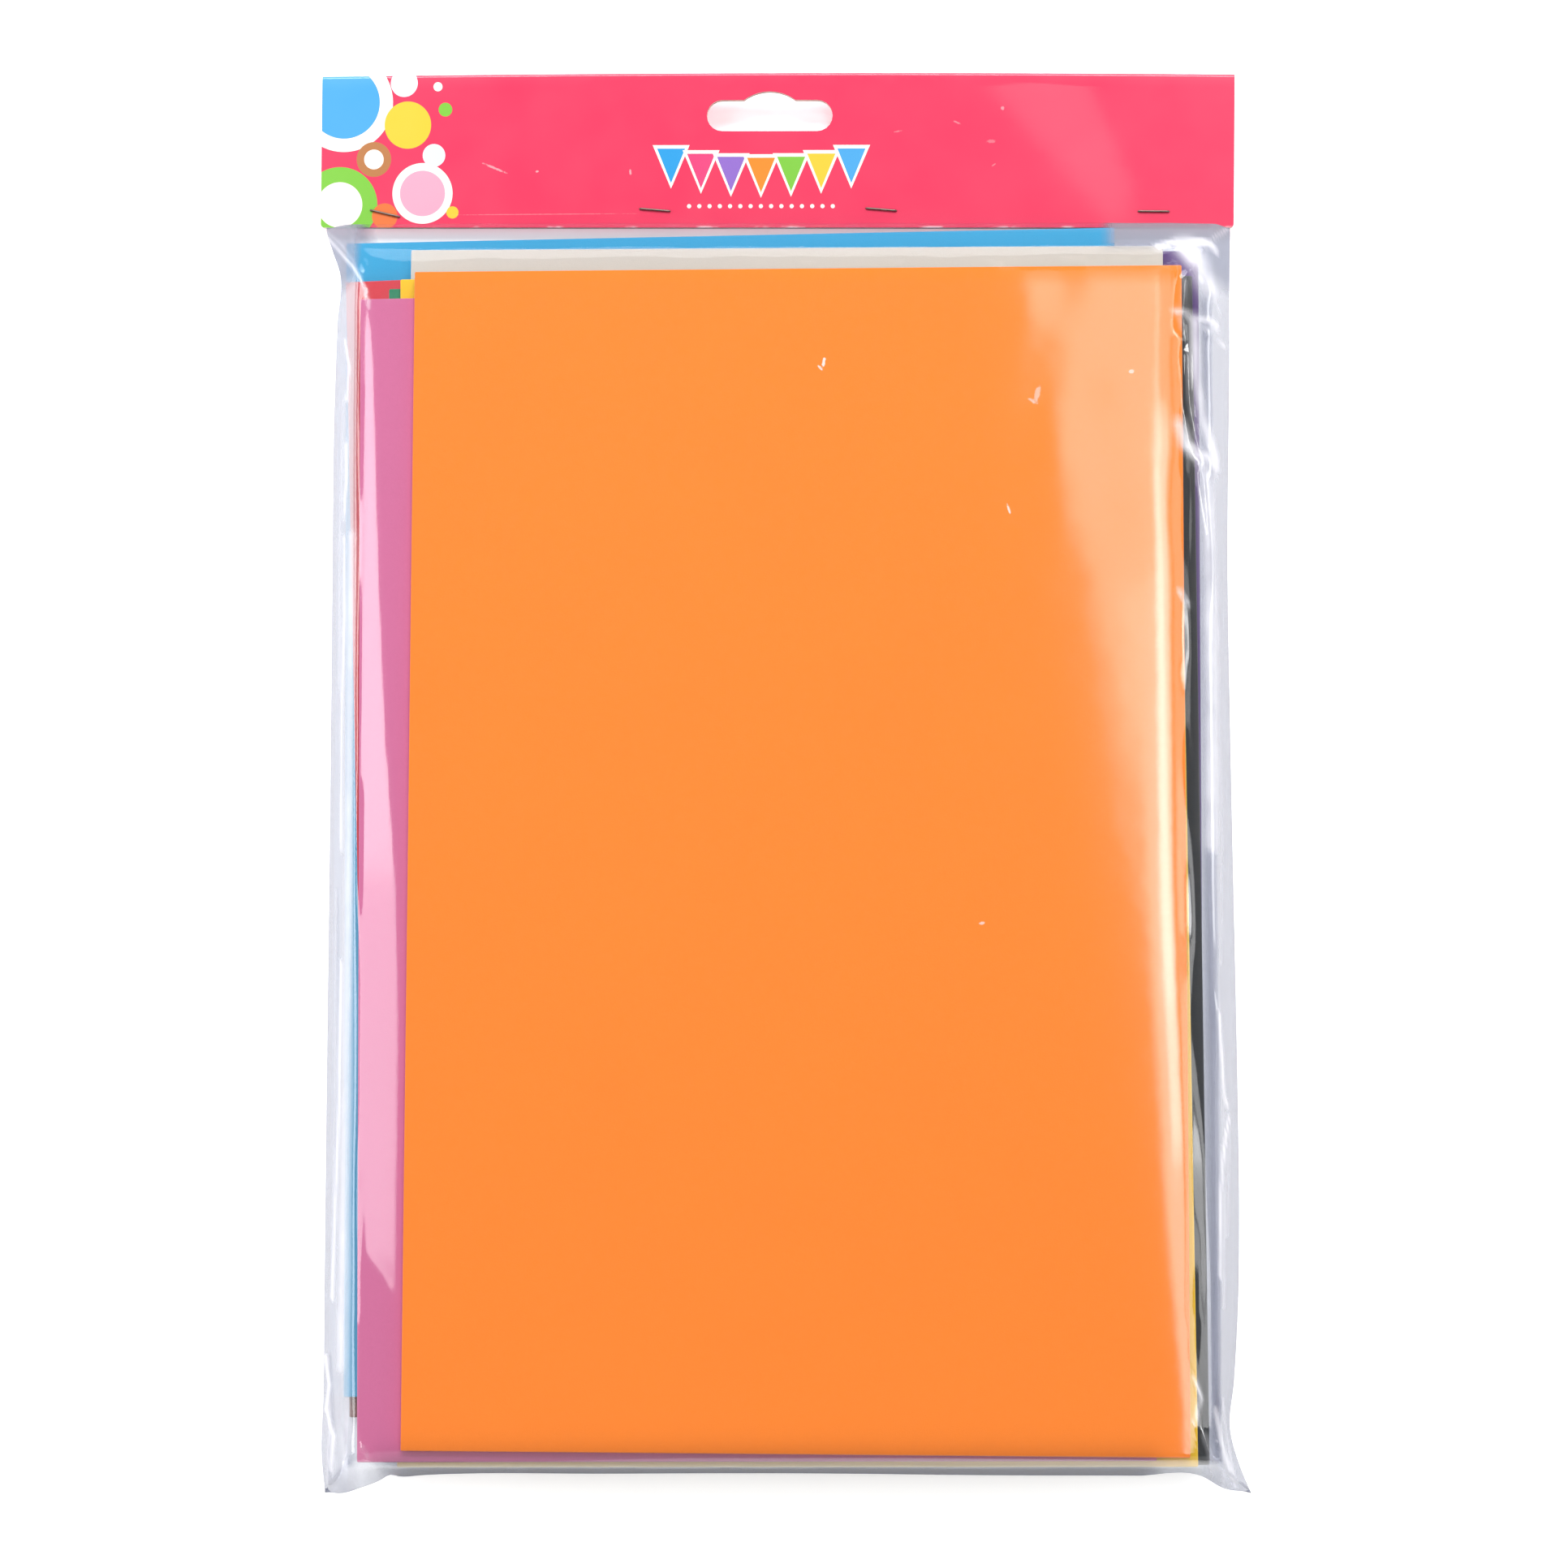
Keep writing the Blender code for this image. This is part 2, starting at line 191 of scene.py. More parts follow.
scene = bpy.context.scene
scene.view_settings.view_transform = "Standard"
bpy.ops.mesh.primitive_plane_add(size=2 * FLOOR_HALF, location=(0, 0, -FLOOR_DROP))
floor = bpy.context.object
floor.name = "floor"
floor_paint, tree, output = new_material("pale floor")
principled(tree, output, {"Base Color": colour("FDFDFD"), "Roughness": 0.8,
                          "Emission Color": WHITE, "Emission Strength": FLOOR_GLOW})
floor.data.materials.append(floor_paint)
floor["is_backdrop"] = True

world = bpy.data.worlds.new("studio")
world.use_nodes = True
tree = world.node_tree
_, _, climb = parts_of(tree, add(tree, "ShaderNodeNewGeometry").outputs["Incoming"])
climb = math_node(tree, "ABSOLUTE", climb)
sky = tree.nodes["Background"].inputs
tree.links.new(map_range(tree, climb, *SKY_DARKENS, SKY_STRENGTH, ZENITH_STRENGTH), sky["Strength"])
sky["Color"].default_value = WHITE
scene.world = world


def hang_light(name, place, target, width, length, radiance, turn=0.0):
    """A soft box at place that faces target, with its brightness and its turn in degrees."""
    light = bpy.data.lights.new(name, "AREA")
    light.shape = "RECTANGLE"
    light.size = width
    light.size_y = length
    light.energy = radiance * math.pi * width * length
    thing = bpy.data.objects.new(name, light)
    scene.collection.objects.link(thing)
    aim = (Vector(target) - Vector(place)).to_track_quat("-Z", "Y").to_matrix()
    roll = Matrix.Rotation(math.radians(turn), 3, "Z")
    thing.matrix_world = Matrix.Translation(place) @ (aim @ roll).to_4x4()
    thing.visible_camera = False
    return thing


# Name, centre, width, length, radiance and turn in degrees of the boxes that face down. Where two are
# mirrored in one place, they add up.
OVERHEAD = (
    ("right soft box", (0.228, 0.070, 1.200), 0.13, 0.95, 2.7, 9.66),
    ("right lower box", (0.264, -0.085, 1.198), 0.12, 0.62, 1.1, 9.66),
    ("right outer box", (0.430, -0.100, 1.197), 0.14, 0.40, 3.0, 0.0),
    ("right upper box", (0.430, 0.250, 1.197), 0.16, 0.30, 1.5, 0.0),
    ("right inner box", (0.275, 0.190, 1.195), 0.11, 0.48, 2.0, 0.0),
    ("right bright box", (0.275, 0.085, 1.190), 0.09, 0.46, 4.0, 5.0),
    ("left soft box", (-0.870, 0.130, 1.200), 0.36, 0.74, 3.5, 0.0),
    ("left upper box", (-0.870, 0.260, 1.195), 0.36, 0.48, 1.9, 0.0),
)
# Small boxes whose glare falls on the card alone
OVER_CARD = (
    ("card box", (0.153, 0.150, 1.170), 0.088, 0.20, 1.8, -22.0),
    ("card bright box", (0.171, 0.125, 1.165), 0.050, 0.12, 1.8, -22.0),
)
# Name, place, target, width, length and radiance of the boxes that stand beside the pack
BESIDE = (
    ("back soft box", (0.0, 0.95, 1.25), (0.0, 0.0, 0.0), 1.20, 0.50, 12.0),
    ("upright right box", (1.50, 0.26, 0.42), (0.10, 0.26, 0.2), 0.52, 0.60, 4.5),
    ("upright left box", (-1.50, 0.0, 0.45), (-0.10, 0.0, 0.2), 1.20, 0.60, 4.0),
)
film_boxes, card_boxes = [
    [hang_light(name, (x, y, z), (x, y, 0.0), *rest) for name, (x, y, z), *rest in rows]
    for rows in (OVERHEAD, OVER_CARD)
]
for row in BESIDE:
    hang_light(*row)

# %% [markdown]
# Craft foam is a closed-cell foam that is cast as a block and skived into sheets. Its face is matt,
# with cells far too small to model, a faint cloudiness in the dye and a pinhole here and there. Its cut
# edge shows the open cells, so it looks a little rougher and darker. Ten materials share that, so it is
# a group: it takes the dye and puts out the colour, the roughness and the height of the cells.

# %% Build the foam effect
FOAM_CELLS = 2600.0
FOAM_CLOUDS = 38.0
FOAM_PINHOLES = 13.0
PINHOLE_RADIUS = 0.0045
# How much darker the middle of a cell's wall, the cut edge and a pinhole are
CELL_SHADE = 0.05
EDGE_SHADE = 0.10
PINHOLE_SHADE = 0.45
FOAM_ROUGHNESS = (0.62, 0.82)

foam_group, given, result = new_group(
    "foam face",
    [("Dye", "Color"), ("Cloudiness", "Float", 0.05), ("Cells", "Float", 1.0)],
    [("Colour", "Color"), ("Roughness", "Float"), ("Height", "Float")],
)
tree = foam_group
where = add(tree, "ShaderNodeTexCoord").outputs["Object"]
_, _, up = parts_of(tree, add(tree, "ShaderNodeNewGeometry").outputs["Normal"])
cut_edge = math_node(tree, "SUBTRACT", 1.0, math_node(tree, "ABSOLUTE", up), clamp=True)
clouds = noise_of(tree, where, FOAM_CLOUDS, 4.0, 0.6)
fine = noise_of(tree, where, FOAM_CELLS / 4, 2.0)
cells, holes = [add(tree, "ShaderNodeTexVoronoi", {"Vector": where, "Scale": scale}).outputs["Distance"]
                for scale in (FOAM_CELLS, FOAM_PINHOLES)]
pinhole = math_node(tree, "LESS_THAN", holes, PINHOLE_RADIUS)
cloud = math_node(tree, "MULTIPLY", math_node(tree, "SUBTRACT", clouds, 0.5), given["Cloudiness"])
brightness = math_node(tree, "ADD", 1.0, cloud)
for part, darker in ((cells, CELL_SHADE), (cut_edge, EDGE_SHADE), (pinhole, PINHOLE_SHADE)):
    brightness = math_node(tree, "SUBTRACT", brightness, math_node(tree, "MULTIPLY", part, darker))
tinted = add(tree, "ShaderNodeHueSaturation", {"Value": brightness, "Color": given["Dye"]})
tree.links.new(tinted.outputs["Color"], result["Colour"])
tree.links.new(map_range(tree, fine, 0.0, 1.0, *FOAM_ROUGHNESS), result["Roughness"])
depth = math_node(tree, "ADD", cells, math_node(tree, "MULTIPLY", cut_edge, fine))
tree.links.new(math_node(tree, "MULTIPLY", depth, given["Cells"]), result["Height"])
print("foam effect:", len(tree.nodes), "nodes")

# %% [markdown]
# Each sheet's material is that group with its own dye, and a short soft sheen on top. The dyes are
# darker than the sheets look in the photograph, because the film's haze and its glare lighten them.

# %% Mix a foam material for each colour
FOAM_DYES = {
    "orange": "F27B10", "pink": "C5638D", "yellow": "E4B91C", "green": "1E7D59", "white": "BEB9B1",
    "black": "2C2F33", "purple": "573978", "red": "CE3843", "blue": "3098C4", "brown": "6F4340",
}
FOAM_BUMP = 0.00003


def foam_material(name, dye):
    material, tree, output = new_material(f"{name} foam")
    face = add(tree, "ShaderNodeGroup", {"Dye": dye}, node_tree=foam_group).outputs
    bump = add(tree, "ShaderNodeBump", {
        "Strength": 0.5, "Distance": FOAM_BUMP, "Height": face["Height"]})
    principled(tree, output, {
        "Base Color": face["Colour"], "Roughness": face["Roughness"], "Normal": bump.outputs[0],
        "Sheen Weight": 0.15, "Sheen Roughness": 0.5, "Specular IOR Level": 0.35})
    return material


foam_paints = {name: foam_material(name, colour(dye)) for name, dye in FOAM_DYES.items()}
print("foam materials:", ", ".join(foam_paints))

# %% [markdown]
# A die cuts each sheet from the foam, so it is a thin slab with slightly rounded edges. The sheets
# differ only in size, place and turn, so one Geometry Nodes tree makes all ten. The slab is a finely
# divided box that follows a faint swell of the whole stack, and a Bevel modifier then rounds its edges.
# The sizes and the place are measured on the frame's own solid, so each sheet lies where its solid does.

# %% Build the tree of a foam sheet
GRID_STEP = 0.004
SWELL_SIZE = 9.0

sheet_tree, given, result = new_group(
    "foam sheet",
    [("Geometry", "Geometry"), ("Size", "Vector"), ("Centre", "Vector"), ("Columns", "Int", 2),
     ("Rows", "Int", 2), ("Swell", "Float", 0.0), ("Material", "Material")],
    [("Geometry", "Geometry")],
    "GeometryNodeTree",
)
tree = sheet_tree
slab = add(tree, "GeometryNodeMeshCube", {
    "Size": given["Size"], "Vertices X": given["Columns"], "Vertices Y": given["Rows"], "Vertices Z": 2})
position = add(tree, "GeometryNodeInputPosition").outputs[0]
place = add(tree, "ShaderNodeVectorMath", {0: position, 1: given["Centre"]})
level = add(tree, "ShaderNodeVectorMath", {0: place.outputs[0], 1: (1.0, 1.0, 0.0)},
            operation="MULTIPLY")
wave = noise_of(tree, level.outputs[0], SWELL_SIZE, 1.0)
rise = math_node(tree, "MULTIPLY", math_node(tree, "SUBTRACT", wave, 0.5), given["Swell"])
offset = add(tree, "ShaderNodeCombineXYZ", {"Z": rise})
moved = add(tree, "GeometryNodeSetPosition", {
    "Geometry": slab.outputs["Mesh"], "Offset": offset.outputs[0]})
whole = add(tree, "GeometryNodeRealizeInstances", {0: moved.outputs[0]})
painted = add(tree, "GeometryNodeSetMaterial", {0: whole.outputs[0], "Material": given["Material"]})
tree.links.new(painted.outputs[0], result["Geometry"])
print("sheet tree:", len(tree.nodes), "nodes")

# %% [markdown]
# The solids are read by their points alone.

# %% Helpers that run a tree and keep its mesh
def add_tree(thing, tree, **values):
    """A Geometry Nodes modifier on thing, with its inputs set by their identifiers."""
    modifier = thing.modifiers.new(tree.name, "NODES")
    modifier.node_group = tree
    inputs = [item for item in tree.interface.items_tree if item.in_out == "INPUT"]
    identifiers = {item.name: item.identifier for item in inputs}
    for name, value in values.items():
        modifier[identifiers[name.replace("_", " ")]] = value
    return modifier


def keep_mesh(thing):
    """Turns what the modifiers make into the object's own plain mesh, in place."""
    bpy.context.view_layer.update()
    evaluated = thing.evaluated_get(bpy.context.evaluated_depsgraph_get())
    mesh = bpy.data.meshes.new_from_object(evaluated)
    mesh.name = thing.name
    thing.modifiers.clear()
    thing.data = mesh
    mesh.transform(thing.matrix_world)
    thing.matrix_world = Matrix.Identity(4)
    return thing


def new_object(name, mesh=None):
    thing = bpy.data.objects.new(name, mesh or bpy.data.meshes.new(name))
    scene.collection.objects.link(thing)
    return thing


def dress(piece, slot, *replaced):
    """Hangs a finished piece on the pack in the place of these solids."""
    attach(piece, "root")
    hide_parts(*replaced)
    return piece


def corners_of(node):
    """The points of a solid of the frame, each once, in metres."""
    points = np.array([vertex.co for vertex in nodes[node].data.vertices])
    return np.unique(np.round(points, 6), axis=0)


print("the largest solid has", max(len(corners_of(name)) for name in nodes), "points")

# %% [markdown]
# A sheet's centre, size and turn are read from the corners of its solid. The blue sheet is drawn a
# little longer than its solid, because it reaches closer to the card in the photograph.

# %% Cut the ten sheets
BLUE_REACH = 0.0009
EDGE_ROUNDING = 0.00035
EDGE_ANGLE = math.radians(60)
STACK_SWELL = 0.0005
STACK = ("brown", "blue", "red", "purple", "black", "white", "green", "yellow", "pink", "orange")


def slab_of(node):
    """Centre, size and turn about Z of a flat rectangular solid."""
    points = corners_of(node)
    low, high = points[:, 2].min(), points[:, 2].max()
    top = points[points[:, 2] > (low + high) / 2][:, :2]
    centre = top.mean(0)
    right = top[np.argsort(top[:, 0])[2:]]
    left = top[np.argsort(top[:, 0])[:2]]
    right, left = right[np.argsort(right[:, 1])], left[np.argsort(left[:, 1])]
    width = np.linalg.norm(right[0] - left[0])
    length = np.linalg.norm(right[1] - right[0])
    turn = math.atan2(*(right[0] - left[0])[::-1])
    return (*centre, (low + high) / 2), (width, length, high - low), turn


slabs = {name: slab_of(f"foam_sheet_{name}") for name in STACK}
(x, y, z), (width, length, thickness), turn = slabs["blue"]
x, y = x - math.sin(turn) * BLUE_REACH / 2, y + math.cos(turn) * BLUE_REACH / 2
slabs["blue"] = (x, y, z), (width, length + BLUE_REACH, thickness), turn
for name, (centre, size, turn) in slabs.items():
    sheet = new_object(f"craft_foam_{name}")
    sheet.matrix_world = Matrix.Translation(centre) @ Matrix.Rotation(turn, 4, "Z")
    columns, rows = (int(round(side / GRID_STEP)) + 1 for side in size[:2])
    add_tree(sheet, sheet_tree, Size=size, Centre=(*centre[:2], 0.0), Columns=columns, Rows=rows,
             Swell=STACK_SWELL, Material=foam_paints[name])
    bevel = sheet.modifiers.new("die-cut edge", "BEVEL")
    bevel.width = EDGE_ROUNDING
    bevel.segments = 2
    bevel.limit_method = "ANGLE"
    bevel.angle_limit = EDGE_ANGLE
    bevel.harden_normals = True
    keep_mesh(sheet)
    dress(sheet, f"{name}_foam", f"foam_sheet_{name}")
    print(name, [round(side / MM, 1) for side in size], "turned", round(math.degrees(turn), 2))

# %% [markdown]
# The header card is one strip of coated card, printed, die-cut flat with its two slots, then creased
# and folded over the bag. It is made here in that order too. A flat curve with the outline and both
# slots is filled and given the card's thickness, cut along a grid of lines so that it can bend, and then
# each point is carried round the fold. The solid gives the card's width, height and place.

# %% Find the card's place
CARD_TURN = math.radians(-0.55)
CARD_TILT = math.radians(4.0)
CARD_THICKNESS = 0.0004
# How far the fold's middle stands up, and how sharply the card curves towards it
CARD_BOW = 0.0028
BOW_POWER = 1.5

card_turns = Matrix.Rotation(CARD_TURN, 3, "Z") @ Matrix.Rotation(CARD_TILT, 3, "X")
card_points = corners_of("header_card") @ np.array(card_turns)
card_low, card_high = card_points.min(0), card_points.max(0)
card_width = card_high[0] - card_low[0]
card_height = card_high[1] - card_low[1]
card_reach = (card_high[2] - card_low[2]) / 2
card_middle = (card_low + card_high) / 2
card_corner = card_turns @ Vector((card_middle[0], card_low[1], card_middle[2]))


def card_lift(x, y):
    """How far the card bows up at a point of its own frame: most in the middle of its fold."""
    across = 1 - np.clip(np.abs(x) / (card_width / 2), 0, 1) ** 2
    return CARD_BOW * across * np.clip(y / card_height, 0, 1) ** BOW_POWER


def on_card(points):
    """Points in the card's own frame, from its lower edge's middle, as points of the pack."""
    points = np.array(points, float).reshape(-1, 3)
    points[:, 2] += card_lift(points[:, 0], points[:, 1])
    return points @ np.array(card_turns).T + np.array(card_corner)


print("card in mm:", round(card_width / MM, 1), "x", round(card_height / MM, 1))

# %% [markdown]
# The strip lies flat first, its front flap towards -Y. Each point then keeps its own x, and its place
# along the strip becomes an angle inside the fold's arc and a straight run beyond it. The loops keep
# where they were on the flat strip in a UV layer, which is what the print is laid out on.

# %% Fold the card
SLOT_WIDTH = 0.0330
SLOT_HEIGHT = 0.0080
SLOT_X = -0.0013
SLOT_ABOVE_EDGE = 0.0251
SLOT_HUMP_WIDTH = 0.0135
SLOT_HUMP_RISE = 0.0022
CARD_CORNER = 0.0009
CARD_SMOOTH_ANGLE = math.radians(50)
ARC_STEPS = 10
CORNER_STEPS = 4
CARD_COLUMNS = 72
FLAP_ROWS = 14
FOLD_ROWS = 12


def arc(centre, radius, start, end, steps=ARC_STEPS):
    """Points of an arc, its angles in degrees."""
    angles = [math.radians(start + (end - start) * i / steps) for i in range(steps + 1)]
    return [(centre[0] + radius * math.cos(a), centre[1] + radius * math.sin(a)) for a in angles]


fold_radius = card_reach - CARD_THICKNESS / 2
fold_half = fold_radius * math.pi / 2
flap = card_height - card_reach
half_length = flap + fold_half


def slot_outline(side):
    """The hang slot on the flat strip. Its hump is towards the fold, and side is 1 on the front flap."""
    radius = SLOT_HEIGHT / 2
    straight = SLOT_WIDTH / 2 - radius
    half = SLOT_HUMP_WIDTH / 2
    hump = (half**2 + SLOT_HUMP_RISE**2) / (2 * SLOT_HUMP_RISE)
    angle = math.degrees(math.asin(half / hump))
    points = arc((straight, 0), radius, -90, 90)
    points += arc((0, radius + SLOT_HUMP_RISE - hump), hump, 90 - angle, 90 + angle)
    points += arc((-straight, 0), radius, 90, 270)
    middle = half_length - SLOT_ABOVE_EDGE - radius
    return [(SLOT_X + x, side * (y - middle)) for x, y in points]


def card_outline():
    """The strip's outline, its ends rounded at the corners."""
    x, y = card_width / 2 - CARD_CORNER, half_length - CARD_CORNER
    points = []
    for start, corner in zip((0, 90, 180, 270), ((x, y), (-x, y), (-x, -y), (x, -y))):
        points += arc(corner, CARD_CORNER, start, start + 90, CORNER_STEPS)
    return points


def flat_plate(name, outlines, thickness):
    """A mesh plate filled between outlines, the inner ones being holes."""
    data = bpy.data.curves.new(name, "CURVE")
    data.dimensions = "2D"
    data.fill_mode = "BOTH"
    data.extrude = thickness / 2
    for outline in outlines:
        spline = data.splines.new("POLY")
        spline.points.add(len(outline) - 1)
        spline.points.foreach_set("co", np.array([(x, y, 0, 1) for x, y in outline]).ravel())
        spline.use_cyclic_u = True
    curve = new_object(name, data)
    bpy.context.view_layer.update()
    mesh = bpy.data.meshes.new_from_object(curve.evaluated_get(bpy.context.evaluated_depsgraph_get()))
    bpy.data.objects.remove(curve)
    return mesh


def cut_along(shape, direction, places):
    """Cuts every face of a bmesh where it crosses these planes."""
    for place in places:
        geometry = [*shape.verts, *shape.edges, *shape.faces]
        bmesh.ops.bisect_plane(shape, geom=geometry, plane_co=direction * place, plane_no=direction)


outlines = [card_outline(), slot_outline(1), slot_outline(-1)]
card_mesh = flat_plate("header_card", outlines, CARD_THICKNESS)
shape = bmesh.new()
shape.from_mesh(card_mesh)
bmesh.ops.remove_doubles(shape, verts=shape.verts, dist=1e-6)
card_columns = np.linspace(-card_width / 2, card_width / 2, CARD_COLUMNS + 1)[1:-1]
cut_along(shape, Vector((1, 0, 0)), card_columns)
flap_rows = np.linspace(fold_half, half_length, FLAP_ROWS + 1)[:-1]
fold_rows = np.linspace(-fold_half, fold_half, FOLD_ROWS + 1)[1:-1]
cut_along(shape, Vector((0, 1, 0)), [*flap_rows, *-flap_rows, *fold_rows])
bmesh.ops.recalc_face_normals(shape, faces=shape.faces)
flat_card = shape.loops.layers.uv.new("card")
for face in shape.faces:
    facing = face.normal.z
    on_front = face.calc_center_median().y < 0
    # The strip's upper side is printed. Its cut rim and its inner side are bare board.
    face.material_index = 2 if facing < 0.5 else 0 if on_front else 1
    for loop in face.loops:
        x, y, _ = loop.vert.co
        loop[flat_card].uv = (x + card_width / 2, half_length - abs(y))
for vertex in shape.verts:
    x, s, offset = vertex.co
    angle = max(-1.0, min(1.0, -s / fold_half)) * math.pi / 2
    beyond = max(0.0, abs(s) - fold_half)
    radius = fold_radius + offset
    vertex.co = (x, flap - beyond + radius * math.cos(angle), radius * math.sin(angle))
shape.to_mesh(card_mesh)
shape.free()
coordinates = np.empty(len(card_mesh.vertices) * 3)
card_mesh.vertices.foreach_get("co", coordinates)
card_mesh.vertices.foreach_set("co", on_card(coordinates).ravel())
card_mesh.shade_smooth()
card_mesh.set_sharp_from_angle(angle=CARD_SMOOTH_ANGLE)
card = new_object("header_card_folded", card_mesh)
print("card faces:", len(card_mesh.polygons))

# %% [markdown]
# The print is a flat pinkish red. Where a design belongs, this card carries plain ornaments: round
# spots at its left end, a string of pennants under the slot and a row of dots below them. They are
# drawn by the shader, so that their edges stay sharp. The coating is glossy, and it has picked up small
# white scuffs on the front and worn edges on both sides. A scuff is drawn by a group for small marks.

# %% Build the print's groups
# The part of a small mark that has its full strength, and the grain and depth of its frayed rim
MARK_CORE = 0.6
MARK_GRAIN = 1500.0
MARK_FRAY = 0.8

spot_group, given, result = new_group(
    "printed spot",
    [("Point", "Vector"), ("Centre", "Vector"), ("Radius", "Float", 0.01), ("Ink", "Color"),
     ("Under", "Color")],
    [("Colour", "Color")],
)
tree = spot_group
apart = add(tree, "ShaderNodeVectorMath", {0: given["Point"], 1: given["Centre"]}, operation="DISTANCE")
inside = math_node(tree, "LESS_THAN", apart.outputs["Value"], given["Radius"])
tree.links.new(mix_colour(tree, inside, given["Under"], given["Ink"]), result["Colour"])

pennant_group, given, result = new_group(
    "printed pennant",
    [("Point", "Vector"), ("Top", "Vector"), ("Width", "Float", 0.01),
     ("Drop", "Float", 0.01), ("Ink", "Color"), ("Under", "Color")],
    [("Colour", "Color")],
)
tree = pennant_group
offset = add(tree, "ShaderNodeVectorMath", {0: given["Top"], 1: given["Point"]}, operation="SUBTRACT")
across, below, _ = parts_of(tree, offset.outputs[0])
share = math_node(tree, "DIVIDE", below, given["Drop"])
width = math_node(tree, "MULTIPLY", math_node(tree, "SUBTRACT", 1.0, share), given["Width"])
half_width = math_node(tree, "MULTIPLY", width, 0.5)
inside = math_node(tree, "LESS_THAN", math_node(tree, "ABSOLUTE", across), half_width)
inside = math_node(tree, "MULTIPLY", inside, math_node(tree, "GREATER_THAN", share, 0.0))
tree.links.new(mix_colour(tree, inside, given["Under"], given["Ink"]), result["Colour"])

mark_group, given, result = new_group(
    "small mark",
    [("Point", "Vector"), ("Centre", "Vector"), ("Turn", "Float", 0.0),
     ("Stretch", "Vector"), ("Fray", "Float", 0.0)],
    [("Mask", "Float")],
)
tree = mark_group
offset = add(tree, "ShaderNodeVectorMath", {0: given["Point"], 1: given["Centre"]}, operation="SUBTRACT")
turned = add(tree, "ShaderNodeVectorRotate", {"Vector": offset.outputs[0], "Angle": given["Turn"]},
             rotation_type="Z_AXIS")
# Stretch is one over the half length and one over the half width.
scaled = add(tree, "ShaderNodeVectorMath", {0: turned.outputs[0], 1: given["Stretch"]},
             operation="MULTIPLY")
reach = add(tree, "ShaderNodeVectorMath", {0: scaled.outputs[0]}, operation="LENGTH")
reach = math_node(tree, "ADD", reach.outputs["Value"], given["Fray"])
tree.links.new(map_range(tree, reach, MARK_CORE, 1.0, 1.0, 0.0), result["Mask"])


def add_marks(tree, point, marks):
    """The mask of small marks: x, y, half length and half width in mm, turn in degrees, strength."""
    mask = 0.0
    grain = noise_of(tree, point, MARK_GRAIN, 2.0, 0.7)
    fray = map_range(tree, grain, 0.0, 1.0, -MARK_FRAY, MARK_FRAY)
    for x, y, long, wide, turn, strength in marks:
        mark = add(tree, "ShaderNodeGroup", {
            "Point": point, "Fray": fray, "Centre": (x * MM, y * MM, 0), "Turn": math.radians(-turn),
            "Stretch": (1 / (long * MM), 1 / (wide * MM), 0)}, node_tree=mark_group)
        mask = math_node(tree, "MAXIMUM", mask, math_node(tree, "MULTIPLY", mark.outputs[0], strength))
    return mask


print("print groups: spot, pennant and small mark")

# %% [markdown]
# The front is stamped shape by shape, each over what is printed already, so the order of the rows below
# is the order of the inks. Only the front is decorated. The back has the same ink and coating.

# %% Print the card
CARD_INK = colour("E6385D")
# x and height above the lower edge in mm, radius in mm, ink
SPOTS = (
    (6, 33, 13.0, "FFF4EC"), (6, 33, 9.5, "4AA3DF"), (27, 9, 8.0, "FFF4EC"), (27, 9, 6.0, "F4A6BE"),
    (5, 6, 10.0, "7CC242"), (5, 6, 6.0, "FFF4EC"), (23, 27, 6.2, "F7C63B"), (14, 18, 4.6, "B5794A"),
    (14, 18, 2.6, "FFF4EC"), (30, 19, 3.0, "DCEBF7"), (17, 3, 3.4, "E8743B"), (22, 38, 3.6, "DCEBF7"),
    (33, 31, 1.8, "7CC242"), (35, 4, 1.6, "F7C63B"), (31, 37, 1.2, "FFF4EC"),
)
PENNANT_INKS = ("2F9BDC", "E0457B", "8E6BC4", "F58A2C", "7CC242", "F7C63B", "4AA3DF")
PENNANT_STEP = 7.9
PENNANT_WIDTH = 7.4
PENNANT_DROP = 9.0
PENNANT_RIM = 0.9
# How much wider and longer a pennant's white rim is than the pennant, in rims
RIM_SPREAD = 2.6
PAPER_WHITE = "FFF4EC"
STRING_MIDDLE = 116.5
STRING_LEVEL = 20.6
STRING_SAG = 2.4
DOT_COUNT = 15
DOT_STEP = 2.7
DOT_LEVEL = 5.6
DOT_RADIUS = 0.55
EDGE_WEAR = 0.0006
CARD_ROUGHNESS = (0.30, 0.42)
# x and height above the lower edge in mm, half length and half width in mm, turn in degrees, strength
CARD_SCUFFS = (
    (46.2, 15.6, 3.6, 0.35, -22, 0.35), (57.4, 14.7, 0.5, 0.3, 0, 0.4), (82.1, 14.5, 0.35, 0.8, 0, 0.4),
    (152.3, 25, 1.3, 0.25, 10, 0.18), (167.7, 27.3, 1.3, 0.3, -25, 0.2), (176.8, 22.4, 1.4, 0.5, 0, 0.16),
    (177.4, 16.3, 0.7, 0.25, 30, 0.2), (179.6, 31, 0.6, 0.5, 0, 0.3), (58.7, 3.5, 27, 0.14, 0.4, 0.16),
)


def string_level(share):
    """The height of the pennants' string at a share, from -1 to 1, of its half length."""
    return STRING_LEVEL - STRING_SAG * (1 - share**2)


